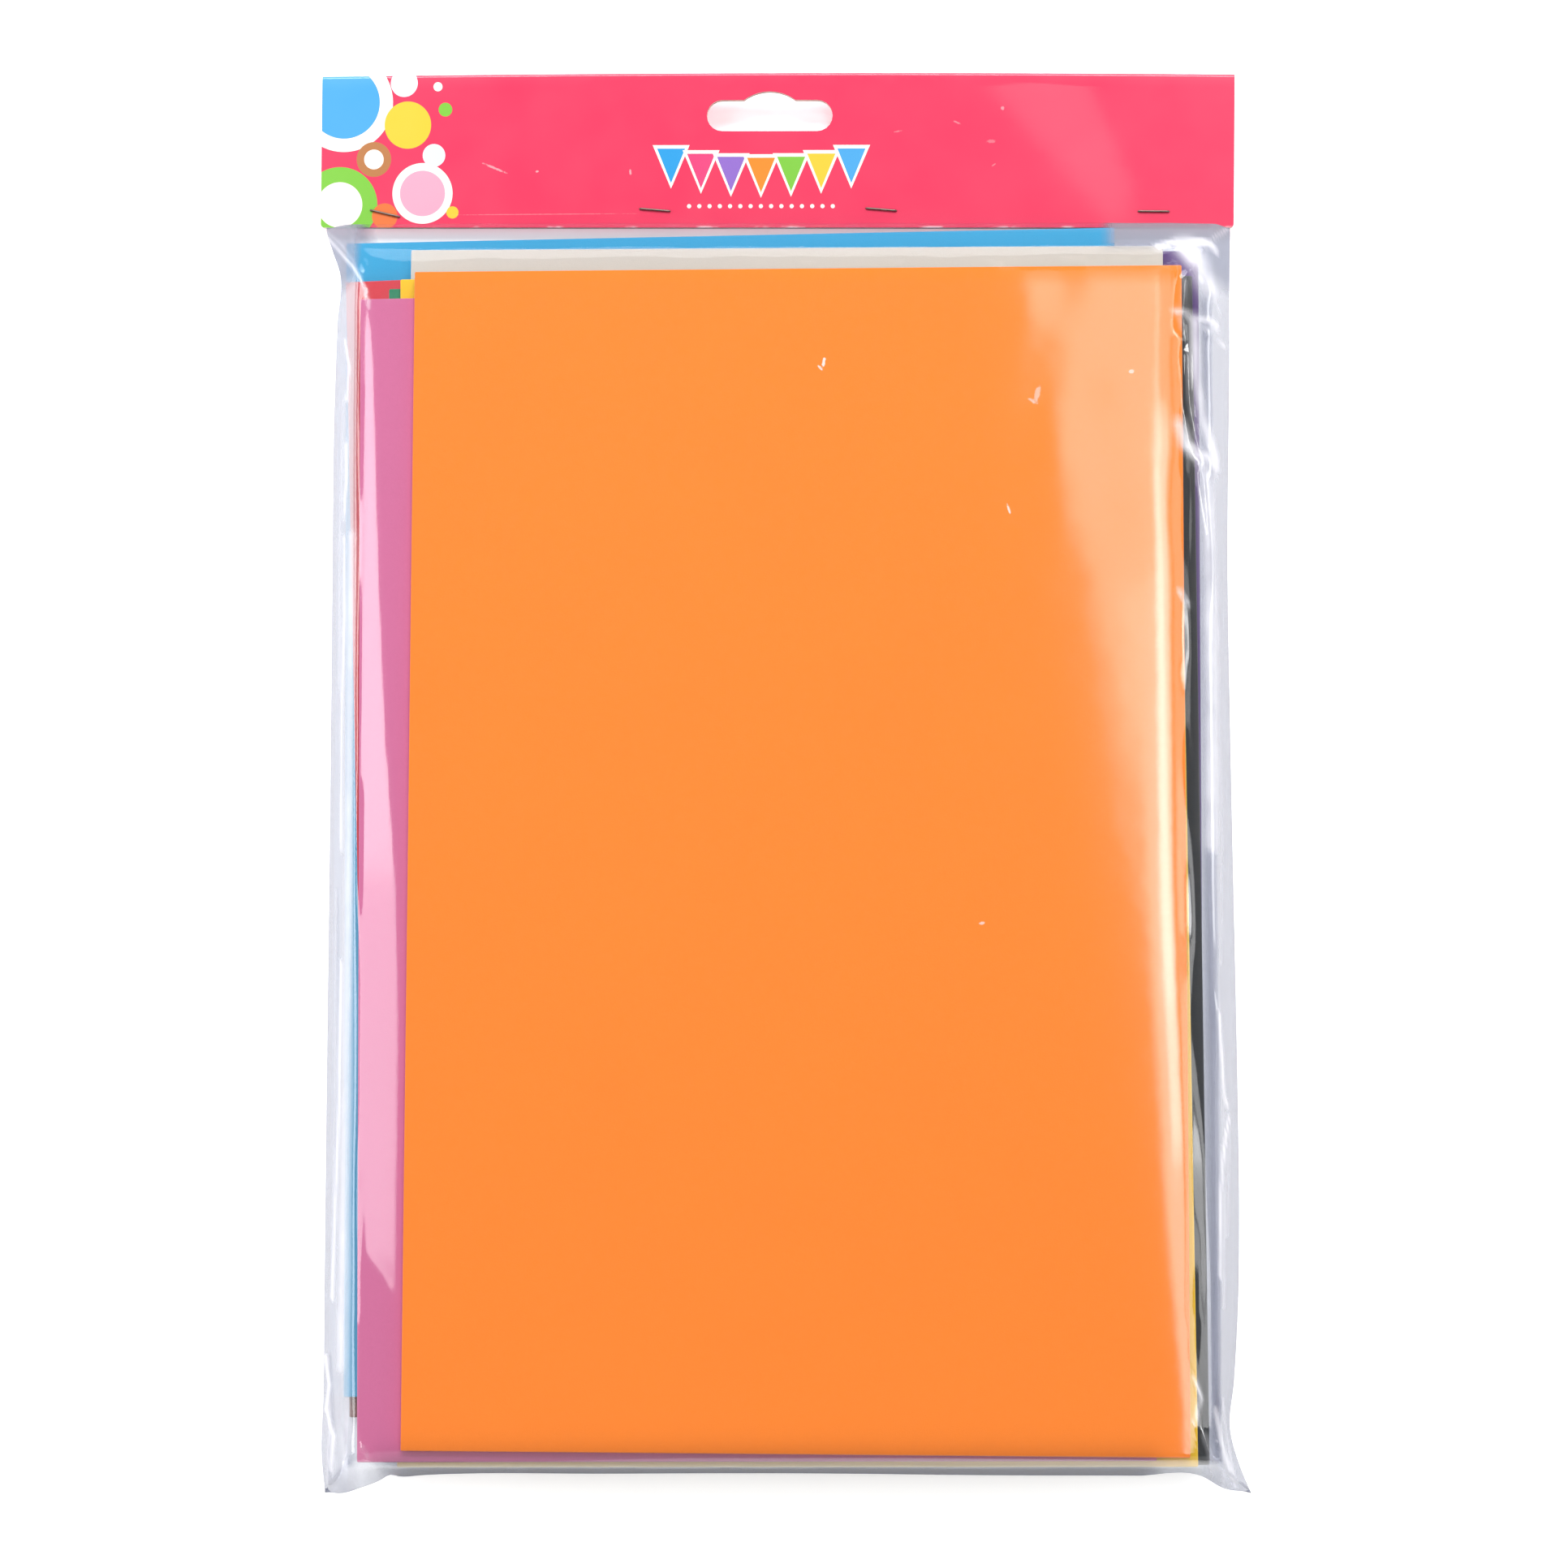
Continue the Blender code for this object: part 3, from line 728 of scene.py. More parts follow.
def printed_card(name, decorated):
    material, tree, output = new_material(name)
    point = add(tree, "ShaderNodeUVMap", uv_map="card").outputs[0]
    where = add(tree, "ShaderNodeTexCoord").outputs["Object"]
    picture = CARD_INK

    def stamp(group, tint, under, **shape):
        """One more shape on the picture under it."""
        values = {"Point": point, "Ink": colour(tint), "Under": under, **shape}
        return add(tree, "ShaderNodeGroup", values, node_tree=group).outputs[0]

    if decorated:
        for x, y, radius, tint in SPOTS:
            centre = (x * MM, y * MM, 0)
            picture = stamp(spot_group, tint, picture, Centre=centre, Radius=radius * MM)
        half = (len(PENNANT_INKS) - 1) / 2
        for number, tint in enumerate(PENNANT_INKS):
            share = (number - half) / half
            x, y = STRING_MIDDLE + share * half * PENNANT_STEP, string_level(share)
            for rim, ink in ((PENNANT_RIM, PAPER_WHITE), (0, tint)):
                width, drop = PENNANT_WIDTH + RIM_SPREAD * rim, PENNANT_DROP + RIM_SPREAD * rim
                picture = stamp(pennant_group, ink, picture, Top=(x * MM, (y + rim) * MM, 0),
                                Width=width * MM, Drop=drop * MM)
        for number in range(DOT_COUNT):
            x = STRING_MIDDLE + (number - (DOT_COUNT - 1) / 2) * DOT_STEP
            centre = (x * MM, DOT_LEVEL * MM, 0)
            picture = stamp(spot_group, PAPER_WHITE, picture, Centre=centre, Radius=DOT_RADIUS * MM)
    _, height, _ = parts_of(tree, point)
    from_edge = math_node(tree, "MINIMUM", height, math_node(tree, "SUBTRACT", half_length, height))
    near_edge = map_range(tree, from_edge, 0.0, EDGE_WEAR, 1.0, 0.0)
    rubbed = map_range(tree, noise_of(tree, where, 120.0, 4.0), 0.54, 0.66)
    worn = math_node(tree, "MULTIPLY", near_edge, rubbed)
    scuffed = add_marks(tree, point, CARD_SCUFFS if decorated else ())
    base = mix_colour(tree, math_node(tree, "MAXIMUM", scuffed, worn), picture, colour("FFE9EC"))
    principled(tree, output, {
        "Base Color": base, "Coat Weight": 0.8, "Coat Roughness": 0.06, "Specular IOR Level": 0.4,
        "Roughness": map_range(tree, noise_of(tree, where, 70.0, 2.0), 0.3, 0.7, *CARD_ROUGHNESS)})
    return material


def bare_board():
    material, tree, output = new_material("bare board")
    fibres = noise_of(tree, add(tree, "ShaderNodeTexCoord").outputs["Object"], 900.0, 4.0)
    bump = add(tree, "ShaderNodeBump", {"Strength": 0.3, "Distance": 0.00003, "Height": fibres})
    principled(tree, output, {
        "Base Color": mix_colour(tree, fibres, colour("EFE7DE"), colour("D6CCC2")),
        "Roughness": map_range(tree, fibres, 0.0, 1.0, 0.8, 0.95), "Normal": bump.outputs[0]})
    return material


for paint in (printed_card("printed front", True), printed_card("printed back", False), bare_board()):
    card_mesh.materials.append(paint)
dress(card, "printed_card", "header_card")
print("spots:", len(SPOTS), "pennants:", len(PENNANT_INKS), "dots:", DOT_COUNT)

# %% [markdown]
# Four wire staples go through both flaps and the film between them. A staple is one wire that follows a
# short path of straight runs: the crown, two legs and two clinched ends. In Geometry Nodes the six
# corners of that path are named sums of the staple's own sizes, a fillet bends the wire at each, and a
# small circle is swept along it. Four points with a turn each then place the copies on the card.

# %% Build the tree of the staples
STAPLE_CROWN = 0.0079
STAPLE_CLINCH = 0.0030
WIRE_DIAMETER = 0.0005
STAPLE_BEND = 0.00042
WIRE_SIDES = 10
BEND_STEPS = 5

staple_tree, given, result = new_group(
    "staples",
    [("Geometry", "Geometry"), ("Crown", "Float", STAPLE_CROWN),
     ("Clinch", "Float", STAPLE_CLINCH), ("Reach", "Float", 0.001),
     ("Wire", "Float", WIRE_DIAMETER), ("Bend", "Float", STAPLE_BEND),
     ("Material", "Material")],
    [("Geometry", "Geometry")],
    "GeometryNodeTree",
)
tree = staple_tree
side = math_node(tree, "MULTIPLY", given["Crown"], 0.5)
end = math_node(tree, "SUBTRACT", side, given["Clinch"])
down = math_node(tree, "MULTIPLY", given["Reach"], -1.0)
left_side = math_node(tree, "MULTIPLY", side, -1.0)
left_end = math_node(tree, "MULTIPLY", end, -1.0)
route = ((left_end, down), (left_side, down), (left_side, given["Reach"]),
         (side, given["Reach"]), (side, down), (end, down))
corner = add(tree, "GeometryNodeIndexSwitch", data_type="VECTOR")
while len(corner.index_switch_items) < len(route):
    corner.index_switch_items.new()
tree.links.new(add(tree, "GeometryNodeInputIndex").outputs[0], corner.inputs[0])
for number, (x, z) in enumerate(route, start=1):
    tree.links.new(add(tree, "ShaderNodeCombineXYZ", {"X": x, "Z": z}).outputs[0], corner.inputs[number])
path = add(tree, "GeometryNodeMeshLine", {"Count": len(route)})
path = add(tree, "GeometryNodeSetPosition", {"Geometry": path.outputs[0], "Position": corner.outputs[0]})
path = add(tree, "GeometryNodeMeshToCurve", {0: path.outputs[0]})
path = add(tree, "GeometryNodeFilletCurve", {
    "Curve": path.outputs[0], "Radius": given["Bend"], "Count": BEND_STEPS}, mode="POLY")
ring = add(tree, "GeometryNodeCurvePrimitiveCircle", {
    "Resolution": WIRE_SIDES, "Radius": math_node(tree, "MULTIPLY", given["Wire"], 0.5)})
wire = add(tree, "GeometryNodeCurveToMesh", {
    "Curve": path.outputs[0], "Profile Curve": ring.outputs[0], "Fill Caps": True})
turned = add(tree, "GeometryNodeInputNamedAttribute", {"Name": "turn"}, data_type="FLOAT_VECTOR")
copies = add(tree, "GeometryNodeInstanceOnPoints", {
    "Points": given["Geometry"], "Instance": wire.outputs[0],
    "Rotation": add(tree, "FunctionNodeEulerToRotation", {0: turned.outputs[0]}).outputs[0]})
whole = add(tree, "GeometryNodeRealizeInstances", {0: copies.outputs[0]})
painted = add(tree, "GeometryNodeSetMaterial", {0: whole.outputs[0], "Material": given["Material"]})
tree.links.new(painted.outputs[0], result["Geometry"])
print("staple tree:", len(tree.nodes), "nodes")

# %% [markdown]
# Four points on the card's middle plane, each with its turn, are all that the tree needs. The wire has
# darkened in patches, so its colour and its roughness follow one noise.

# %% Drive the staples through the card
STAPLE_GAP = 0.0001
# From the left: x from the card's middle and height above its lower edge in mm, and tilt in degrees
STAPLES = ((-102.9, 3.7, -13.0), (-31.4, 4.6, -4.6), (28.1, 4.7, -4.6), (99.2, 4.2, -0.4))


def staple_material():
    material, tree, output = new_material("staple wire")
    tarnish = noise_of(tree, add(tree, "ShaderNodeTexCoord").outputs["Object"], 700.0, 3.0)
    principled(tree, output, {
        "Base Color": mix_colour(tree, tarnish, colour("5C4A42"), colour("8C8079")), "Metallic": 1.0,
        "Roughness": map_range(tree, tarnish, 0.3, 0.7, 0.28, 0.5)})
    return material


staple_points = bpy.data.meshes.new("staples")
staple_points.from_pydata(on_card([(x * MM, y * MM, 0.0) for x, y, _ in STAPLES]).tolist(), [], [])
turn_values = staple_points.attributes.new("turn", "FLOAT_VECTOR", "POINT")
for value, (_, _, tilt) in zip(turn_values.data, STAPLES):
    value.vector = (card_turns @ Matrix.Rotation(math.radians(tilt), 3, "Z")).to_euler()
staples = new_object("staples", staple_points)
add_tree(staples, staple_tree, Crown=STAPLE_CROWN, Clinch=STAPLE_CLINCH, Wire=WIRE_DIAMETER,
         Bend=STAPLE_BEND, Reach=card_reach + STAPLE_GAP + WIRE_DIAMETER / 2, Material=staple_material())
keep_mesh(staples)
staples.data.shade_smooth()
staples.data.set_sharp_from_angle(angle=CARD_SMOOTH_ANGLE)
dress(staples, "staple_wire", *sorted(name for name in nodes if name.startswith("staple_")))
print("staple faces:", len(staples.data.polygons))

# %% [markdown]
# The bag is a flat tube of thin film, welded across its bottom and clamped by the card at its mouth.
# Pulled round a stack that is 22 mm thick, it lies flat on the top sheet, slopes down past the stack's
# sides to its two side creases, and leaves its flat bottom corners standing out as ears. It is made in
# mesh code as one grid for the front wall and a coarser one for the back, joined at the creases and the
# weld. Each section across and along is the tight upper hull of the sheets there, as film under tension
# would lie, and folds, puckers and slack are then added where nothing holds the film.

# %% Draw the bag's outline
# The side creases from the card down to the ears, x and y in mm
LEFT_CREASE = (
    (-118.2, 157), (-118.6, 143.6), (-116.6, 137.5), (-114.6, 132.2), (-115, 118), (-115.5, 92),
    (-115.4, 53.5), (-115.1, -10), (-115, -73), (-114.8, -136), (-114.7, -160), (-114.9, -176),
    (-113.9, -184.6),
)
RIGHT_CREASE = (
    (118.6, 154.5), (118.9, 141.5), (118.5, 131), (118.2, 105.5), (117.3, 52.5), (117.6, 10.4),
    (118.1, -31.3), (118.7, -83), (118.8, -113.7), (118.4, -134), (117.2, -154.4), (116.1, -167.1),
    (118, -174.6), (121.2, -182.6),
)
# The weld from the left ear to the right one, x and y in mm
WELD = (
    (-113.9, -184.6), (-110.5, -185), (-104.8, -183.5), (-100, -181.6), (-97.5, -180.2), (-95, -180.6),
    (-89, -180.2), (-40, -179.4), (6, -178.9), (60, -178.9), (92.4, -178.7), (109, -178.7),
    (114.4, -181.6), (121.2, -182.6),
)
FRONT_COLUMNS = 160
BACK_COLUMNS = 40
BAG_ROWS = 230
EDGE_CROWDING = 0.8


def crowded(count):
    """Shares from 0 to 1, closer together at both ends."""
    even = np.linspace(0, 1, count + 1)
    return (1 - EDGE_CROWDING) * even + EDGE_CROWDING * (0.5 - 0.5 * np.cos(np.pi * even))


def along_line(line, shares):
    """Points at these shares of the length of a line through points, rounded between them."""
    line = np.array(line, float)
    steps = np.concatenate([[0], np.cumsum(np.linalg.norm(np.diff(line, axis=0), axis=1))])
    slopes = np.gradient(line, steps, axis=0)
    at = shares * steps[-1]
    i = np.clip(np.searchsorted(steps, at, side="right") - 1, 0, len(steps) - 2)
    gap = (steps[i + 1] - steps[i])[:, None]
    t = (at - steps[i])[:, None] / gap
    return ((2 * t**3 - 3 * t**2 + 1) * line[i] + (t**3 - 2 * t**2 + t) * gap * slopes[i]
            + (3 * t**2 - 2 * t**3) * line[i + 1] + (t**3 - t**2) * gap * slopes[i + 1])


def bag_grid(columns, rows):
    """x and y in mm of a grid that fills the bag's outline, rows from the mouth to the weld."""
    u, v = crowded(columns), crowded(rows)
    left, right = along_line(LEFT_CREASE, v), along_line(RIGHT_CREASE, v)
    weld = along_line(WELD, u)
    mouth = left[0] + u[:, None] * (right[0] - left[0])
    u, v = u[None, :, None], v[:, None, None]
    sides = (1 - u) * left[:, None] + u * right[:, None]
    ends = (1 - v) * mouth[None] + v * weld[None]
    corners = ((1 - u) * (1 - v) * left[0] + u * (1 - v) * right[0]
               + (1 - u) * v * left[-1] + u * v * right[-1])
    return sides + ends - corners


front_xy = bag_grid(FRONT_COLUMNS, BAG_ROWS)
print("bag grid:", front_xy.shape[:2], "width in mm:", round(float(np.ptp(front_xy[:, :, 0])), 1))

# %% [markdown]
# Across the bag, the film is flat on the top sheet. On its left it falls as a facet over the pink sheet,
# which steepens along one line, and on its right it falls as a shoulder that grows steeper. Along the
# bag, it is stretched from the weld over the stack, and bulges before it dives under the card. The lower
# of the two sections is where the film lies.

# %% Stretch the film round the stack
FILM_CLEARANCE = 0.22
SIDE_LEVEL = 6.0
WELD_HEIGHT = 4.6
MOUTH_LEVEL = 3.2
FLOOR_CLEARANCE = 0.10
MOUTH_FULLNESS = 2.6
# Where the film over the pink sheet steepens, as y and x in mm, and its tilts in degrees on each side
FACET_LINE = (
    (-165, -91), (-122, -91), (-73, -91.4), (-32, -93.4), (9.5, -97), (51, -99.4), (89, -100.9),
    (108, -101.8), (116, -102.8), (122, -104),
)
FACET_TILTS = (3.4, 9.2)
# The steeper part's other side, which cuts its lower end off at a slant
FACET_FOOT = (
    (-165, -84), (-138, -91), (-134.5, -94.9), (-132.5, -96.4), (-122, -102.3), (-92, -104.4),
    (120, -105.4),
)
FACET_BLEND = 1.3
# Where the film starts to fall towards the top sheet's right edge, as y and x in mm, and how far past
# that line it has which tilt
SHOULDER_LINE = ((-165, 100.5), (-112, 97.2), (-32, 94.6), (20, 94.6), (120, 94.8))
SHOULDER_RUNS = (0, 3.5, 8.0, 12.0, 15.5, 17.5, 20.0)
SHOULDER_TILTS = (0, 1.0, 4.2, 6.5, 16.0, 34.0, 42.0)
SHOULDER_END = 112.6
PINK_REACH = 120.0
SECTION_STEP = 0.1
# How far past the top sheet's right edge the film leaves it
SHEET_HOLD = 0.3
# Sections nearer to the bag's border than these y and x in mm are like the last one inside
ACROSS_LIMITS = (-163.5, 127.0)
ALONG_LIMITS = (-91.0, 104.0)


def upper_hull(points):
    """The upper hull of (place, height) points, sorted by place."""
    hull = []
    for p in sorted(points):
        while len(hull) > 1:
            (ax, ay), (bx, by) = hull[-2:]
            if (bx - ax) * (p[1] - ay) - (by - ay) * (p[0] - ax) < 0:
                break
            hull.pop()
        hull.append(p)
    return np.array(hull)


def sheet_edges(name, axis, at):
    """Where a line across (axis 0) or along (axis 1) the stack meets a sheet's edges, in mm, or None."""
    (cx, cy, _), (width, length, _), turn = slabs[name]
    half = np.array((width, length)) / 2 / MM
    centre = np.array((cx, cy)) / MM
    other = 1 - axis
    slope = math.tan(turn) * (-1 if axis == 0 else 1)
    middle = centre[axis] + slope * (at - centre[other])
    if abs(at - centre[other]) > half[other]:
        return None
    return middle - half[axis], middle + half[axis]


def top_of(name):
    (_, _, z), (_, _, thickness), _ = slabs[name]
    return (z + thickness / 2) / MM


def section_heights(places, axis, at, ends):
    """Heights of tight film on one section. ends are its two fixed (place, height) points."""
    points = list(ends)
    for name in STACK:
        edges = sheet_edges(name, axis, at)
        if edges:
            points += [(edges[0] - FILM_CLEARANCE, top_of(name) + FILM_CLEARANCE),
                       (edges[1] + FILM_CLEARANCE, top_of(name) + FILM_CLEARANCE)]
    hull = upper_hull(points)
    return np.interp(places, hull[:, 0], hull[:, 1])


def across_heights(x, at, ends):
    """One section across the bag: flat on the top sheet, with a facet and a shoulder beside it."""
    x_left, x_right = sheet_edges("orange", 0, at)
    x_pink = sheet_edges("pink", 0, min(at, PINK_REACH))[0]
    start = np.interp(at, *np.transpose(SHOULDER_LINE))
    steepens = np.interp(at, *np.transpose(FACET_LINE))
    fine = np.arange(x_pink - 1, SHOULDER_END, SECTION_STEP)
    foot = np.interp(at, *np.transpose(FACET_FOOT))
    past = np.clip(np.minimum(steepens - fine, fine - foot) / FACET_BLEND + 0.5, 0, 1)
    steeper = (FACET_TILTS[1] - FACET_TILTS[0]) * past**2 * (3 - 2 * past)
    facet = np.where(fine < x_left, FACET_TILTS[0] + steeper, 0.0)
    shoulder = -np.interp(fine - start, SHOULDER_RUNS, SHOULDER_TILTS)
    level = np.cumsum(np.tan(np.radians(facet + shoulder))) * SECTION_STEP
    level += top_of("orange") + FILM_CLEARANCE - np.interp(x_right + SHEET_HOLD, fine, level)
    left = np.interp(x, (ends[0][0], fine[0]), (ends[0][1], level[0]))
    right = np.interp(x, (fine[-1], ends[1][0]), (level[-1], ends[1][1]))
    whole = np.where(x < fine[0], left, np.where(x > fine[-1], right, np.interp(x, fine, level)))
    return np.maximum(whole, np.where(x < fine[0], section_heights(x, 0, at, ends), 0))


def card_plane(x, y):
    """The height in mm of the card's middle plane, on which the film's mouth lies."""
    points = np.stack([x, y, np.zeros_like(x)], -1) * MM
    local = (points - np.array(card_corner)) @ np.array(card_turns)
    level = np.array(card_corner)[2] + local[..., 1] * math.sin(CARD_TILT)
    return (level + card_lift(local[..., 0], local[..., 1])) / MM


def card_edge(x):
    """y in mm of the card's lower edge at x in mm."""
    return np.array(card_corner)[1] / MM + (x - card_corner[0] / MM) * math.tan(CARD_TURN)


def along_heights(y, at, bottom, mouth):
    """One section along the bag. Past the top sheet it bulges before it dives under the card."""
    heights = section_heights(y, 1, at, (bottom, mouth))
    y_top = sheet_edges("orange", 1, at)[1]
    level = top_of("orange") + FILM_CLEARANCE
    share = np.clip((y - y_top) / (mouth[0] - y_top), 0, 1)
    bulge = mouth[1] + (level - mouth[1]) * (1 - share**MOUTH_FULLNESS) ** (1 / MOUTH_FULLNESS)
    return np.where(y > y_top, bulge, heights)


def tight_heights(xy):
    """The front wall's height in mm where the film is tight."""
    rows, columns = xy.shape[:2]
    across, along = np.empty((2, rows, columns))
    edge_y = card_edge(xy[rows // 2, :, 0])
    for row in range(rows):
        line = xy[row]
        at = np.clip(line[:, 1].mean(), *ACROSS_LIMITS)
        ends = (line[0, 0], SIDE_LEVEL), (line[-1, 0], SIDE_LEVEL)
        across[row] = across_heights(line[:, 0], at, ends)
    for column in range(columns):
        line = xy[:, column]
        at = np.clip(line[rows // 2, 0], *ALONG_LIMITS)
        bottom, mouth = (line[-1, 1], WELD_HEIGHT), (edge_y[column], MOUTH_LEVEL)
        along[:, column] = along_heights(line[:, 1], at, bottom, mouth)
    raised = np.clip(across - top_of("orange") - FILM_CLEARANCE, 0, None)
    return np.minimum(across, along + raised)


heights = tight_heights(front_xy)
print("film's highest point in mm:", round(float(heights.max()), 2))

# %% [markdown]
# Tight film would look like glass. Real film has slack in it, stands up in folds where it turns a
# corner, and puckers where no sheet holds it. The main folds follow the photograph, and smooth seeded
# noise fills in the rest. A fold's milky crease and a painted highlight, drawn as a white stroke where a
# fold would mirror a light, also leave a value from 0 to 1 at each point, which the film's material reads.

# %% Slacken, fold and pucker the film
def smooth(field, passes):
    """A field averaged with its neighbours, its border held."""
    field = field.copy()
    for _ in range(passes):
        inner = field[1:-1, 1:-1]
        around = field[:-2, 1:-1] + field[2:, 1:-1] + field[1:-1, :-2] + field[1:-1, 2:]
        field[1:-1, 1:-1] = 0.5 * inner + 0.125 * around
    return field


def stack_heights(xy):
    """Height in mm of the sheets under each point, or 0 beside them."""
    found = np.zeros(xy.shape[:2])
    for name in STACK:
        (cx, cy, _), (width, length, _), turn = slabs[name]
        offset = xy - np.array((cx, cy)) / MM
        cosine, sine = math.cos(turn), math.sin(turn)
        local = offset @ np.array(((cosine, -sine), (sine, cosine)))
        inside = (np.abs(local[..., 0]) < width / 2 / MM) & (np.abs(local[..., 1]) < length / 2 / MM)
        found[inside] = np.maximum(found[inside], top_of(name))
    return found


def ripples(xy, size, stretch, seed, height):
    """A smooth random field: the width of a ripple in mm, its length in widths, and its height in mm."""
    flat = xy.reshape(-1, 2)
    found = [noise.noise((x / size, y / (size * stretch), seed)) for x, y in flat]
    return np.array(found).reshape(xy.shape[:2]) * height


def distance_to_line(xy, line):
    """Distance in mm from each point to a line through points."""
    best = np.full(xy.shape[:2], np.inf)
    for start, end in zip(np.array(line, float)[:-1], np.array(line, float)[1:]):
        run = end - start
        share = np.clip(((xy - start) @ run) / (run @ run), 0, 1)
        best = np.minimum(best, np.linalg.norm(xy - start - share[..., None] * run, axis=-1))
    return best


# Folds that stand up from the film: the line of each, its height and its half width, all in mm
FOLDS = (
    (((-118.5, 143), (-113.6, 138.5), (-108.8, 132), (-105.6, 126.5)), 0.5, 1),
    (((118, 141), (112, 134), (105.5, 124), (104.5, 112)), 0.8, 0.9),
    (((103.5, 132), (109.5, 126.6), (115.3, 117)), 0.7, 0.8),
    (((106.3, 112.8), (116.6, 109.3)), 0.8, 0.8),
    (((106.2, 105.4), (106.6, 92), (108.6, 81), (114.3, 73.6)), 0.9, 0.8),
    (((110.1, 74.7), (112.6, 52), (113.9, 30.7)), 0.7, 0.9),
    (((113.9, 30.7), (114.6, -10), (113.6, -50)), 0.35, 0.9),
    (((112.6, -60), (114.5, -95), (113.5, -135)), 0.5, 0.8),
    (((116, -88), (114.9, -118)), 0.5, 0.7),
    (((-111.6, 98), (-112.6, 60), (-112, 20)), 0.5, 0.7),
    (((-109.6, 104), (-109.2, 92), (-109.8, 80)), 0.5, 0.6),
    (((-112.4, -30), (-111.6, -80), (-112.2, -130)), 0.4, 0.7),
    (((-113.2, -150), (-111.8, -166), (-113, -182)), 0.7, 0.8),
    (((-107.5, -168), (-106, -176), (-107, -183)), 0.6, 0.7),
    (((-101.5, -171), (-99, -176), (-99.5, -180)), 0.5, 0.7),
    (((108, -166), (110, -172), (110.5, -178)), 0.6, 0.7),
    (((113, -158), (115, -170), (117, -181)), 0.8, 0.8),
    (((112.5, -168), (113.5, -175), (114.2, -181)), 0.5, 0.6),
)
CREASE_WIDTH = 0.45
CREASE_MILK = 0.30
# Painted highlights: white strokes where the film's folds would mirror a light. The line of each
# stroke and its half width in mm, and its strength
GLINT_STROKES = (
    (((98.7, 132.6), (103.5, 134.2), (110, 134.2), (114, 133)), 0.8, 0.80),
    (((105.5, 132.6), (108.6, 129), (111.6, 122.5)), 2.5, 0.80),
    (((103.2, 115.9), (108, 114.6), (114, 113.3)), 0.9, 0.55),
    (((107.9, 114), (108.2, 100), (110, 88), (113.2, 78.6)), 1.3, 0.60),
    (((-118, 141.5), (-113.4, 136), (-108.4, 130), (-104.9, 124), (-103.8, 119.5)), 0.4, 0.55),
    (((-107.9, 60), (-107.8, -60), (-108.2, -100), (-108.6, -152)), 1.5, 0.30),
    (((104, 87), (105.6, 81.8), (109, 78.6), (113, 77.4)), 1.5, 0.75),
    (((110.5, 76), (111.3, 50), (111.5, 20), (111.3, -20)), 1.7, 0.50),
    (((103.6, 44.5), (105.8, 40.5)), 0.6, 0.60),
    (((112.9, -62), (114.4, -83.9), (116, -86)), 0.45, 0.65),
    (((116, -87.4), (114, -96), (112.9, -106.4), (112.6, -128)), 0.45, 0.60),
    (((-114, -150.5), (-112.5, -157), (-113.6, -163.7)), 0.6, 0.70),
    (((-113, -164), (-110.8, -169.7), (-111.6, -178)), 0.7, 0.65),
    (((-110.5, 85), (-110.2, 76), (-111, 66)), 0.45, 0.60),
    (((-111.5, 112), (-109.5, 104), (-110.4, 96)), 0.5, 0.60),
    (((-110.9, 60), (-110.4, 40), (-111.1, 10), (-110.7, -20)), 0.5, 0.45),
    (((-110.2, -50), (-110.4, -85), (-112, -135)), 0.5, 0.55),
    (((106, -152.7), (107.5, -157), (105.8, -163.5)), 0.45, 0.60),
    (((111, -160), (112.5, -168), (116, -178)), 0.6, 0.45),
)

# Film this far above the sheets starts to be free, and over the next stretch becomes wholly so, in mm
FREE_ABOVE = 2.6
FREE_BLEND = 4.0
# Width in mm, length in widths, seed and height in mm of the ripples
SLACK = (80, 1.8, 8.4, 0.05)
CORNER_SLACK = (13, 1.6, 3.1, 0.08)
PUCKERS = ((3.6, 7.0, 1.7, 0.14), (10.0, 4.0, 5.2, 0.45))
# Where the corner's slack starts, as x and y in mm, and over how many mm it grows
CORNER_START = (55, 40)
CORNER_BLEND = (20, 40)
# The share of the columns at each side over which the film comes loose from its crease
RIM_SHARE = 1 / 30
SHEET_GAP = 0.12
CARD_GAP = 0.16
CARD_RIM_GAP = 0.10
DIVE_BLEND = 1.5
RIM_DIP = 12.0

support = stack_heights(front_xy)
film = smooth(heights, 2)
free = np.clip((film - support - FREE_ABOVE) / FREE_BLEND, 0, 1)
past_edge = front_xy[..., 1] - card_edge(front_xy[..., 0])
in_card = past_edge > 0
upper_right = np.prod(np.clip((front_xy - CORNER_START) / CORNER_BLEND, 0, 1), -1)
slack = ripples(front_xy, *SLACK) + ripples(front_xy, *CORNER_SLACK) * upper_right
puckers = sum(ripples(front_xy, *row) for row in PUCKERS)
fold_lines = [(distance_to_line(front_xy, line), height, width) for line, height, width in FOLDS]
folds = sum(height * np.exp(-(away / width) ** 2) for away, height, width in fold_lines)
crease = sum(height * np.exp(-(away / CREASE_WIDTH) ** 2) for away, height, _ in fold_lines)
crease = np.clip(crease, 0, 1) * CREASE_MILK
for line, width, glint_strength in GLINT_STROKES:
    glint_stroke = glint_strength * np.exp(-(distance_to_line(front_xy, line) / width) ** 2)
    crease = np.maximum(crease, glint_stroke)
across_share = np.linspace(0, 1, FRONT_COLUMNS + 1)
loose = np.clip(np.minimum(across_share, across_share[::-1]) / RIM_SHARE, 0, 1)[None]
film = film + slack + (puckers * free + folds) * loose
film = np.maximum(film, support + SHEET_GAP)
mouth = card_plane(front_xy[..., 0], front_xy[..., 1])
reach = np.clip(past_edge / DIVE_BLEND + 1, 0, 1)
diving = film * (1 - reach) + np.minimum(film, mouth + CARD_GAP) * reach
film = np.where(in_card, mouth + CARD_GAP, diving)
film[-1] = WELD_HEIGHT
near_card = np.clip(past_edge / RIM_DIP + 1, 0, 1)
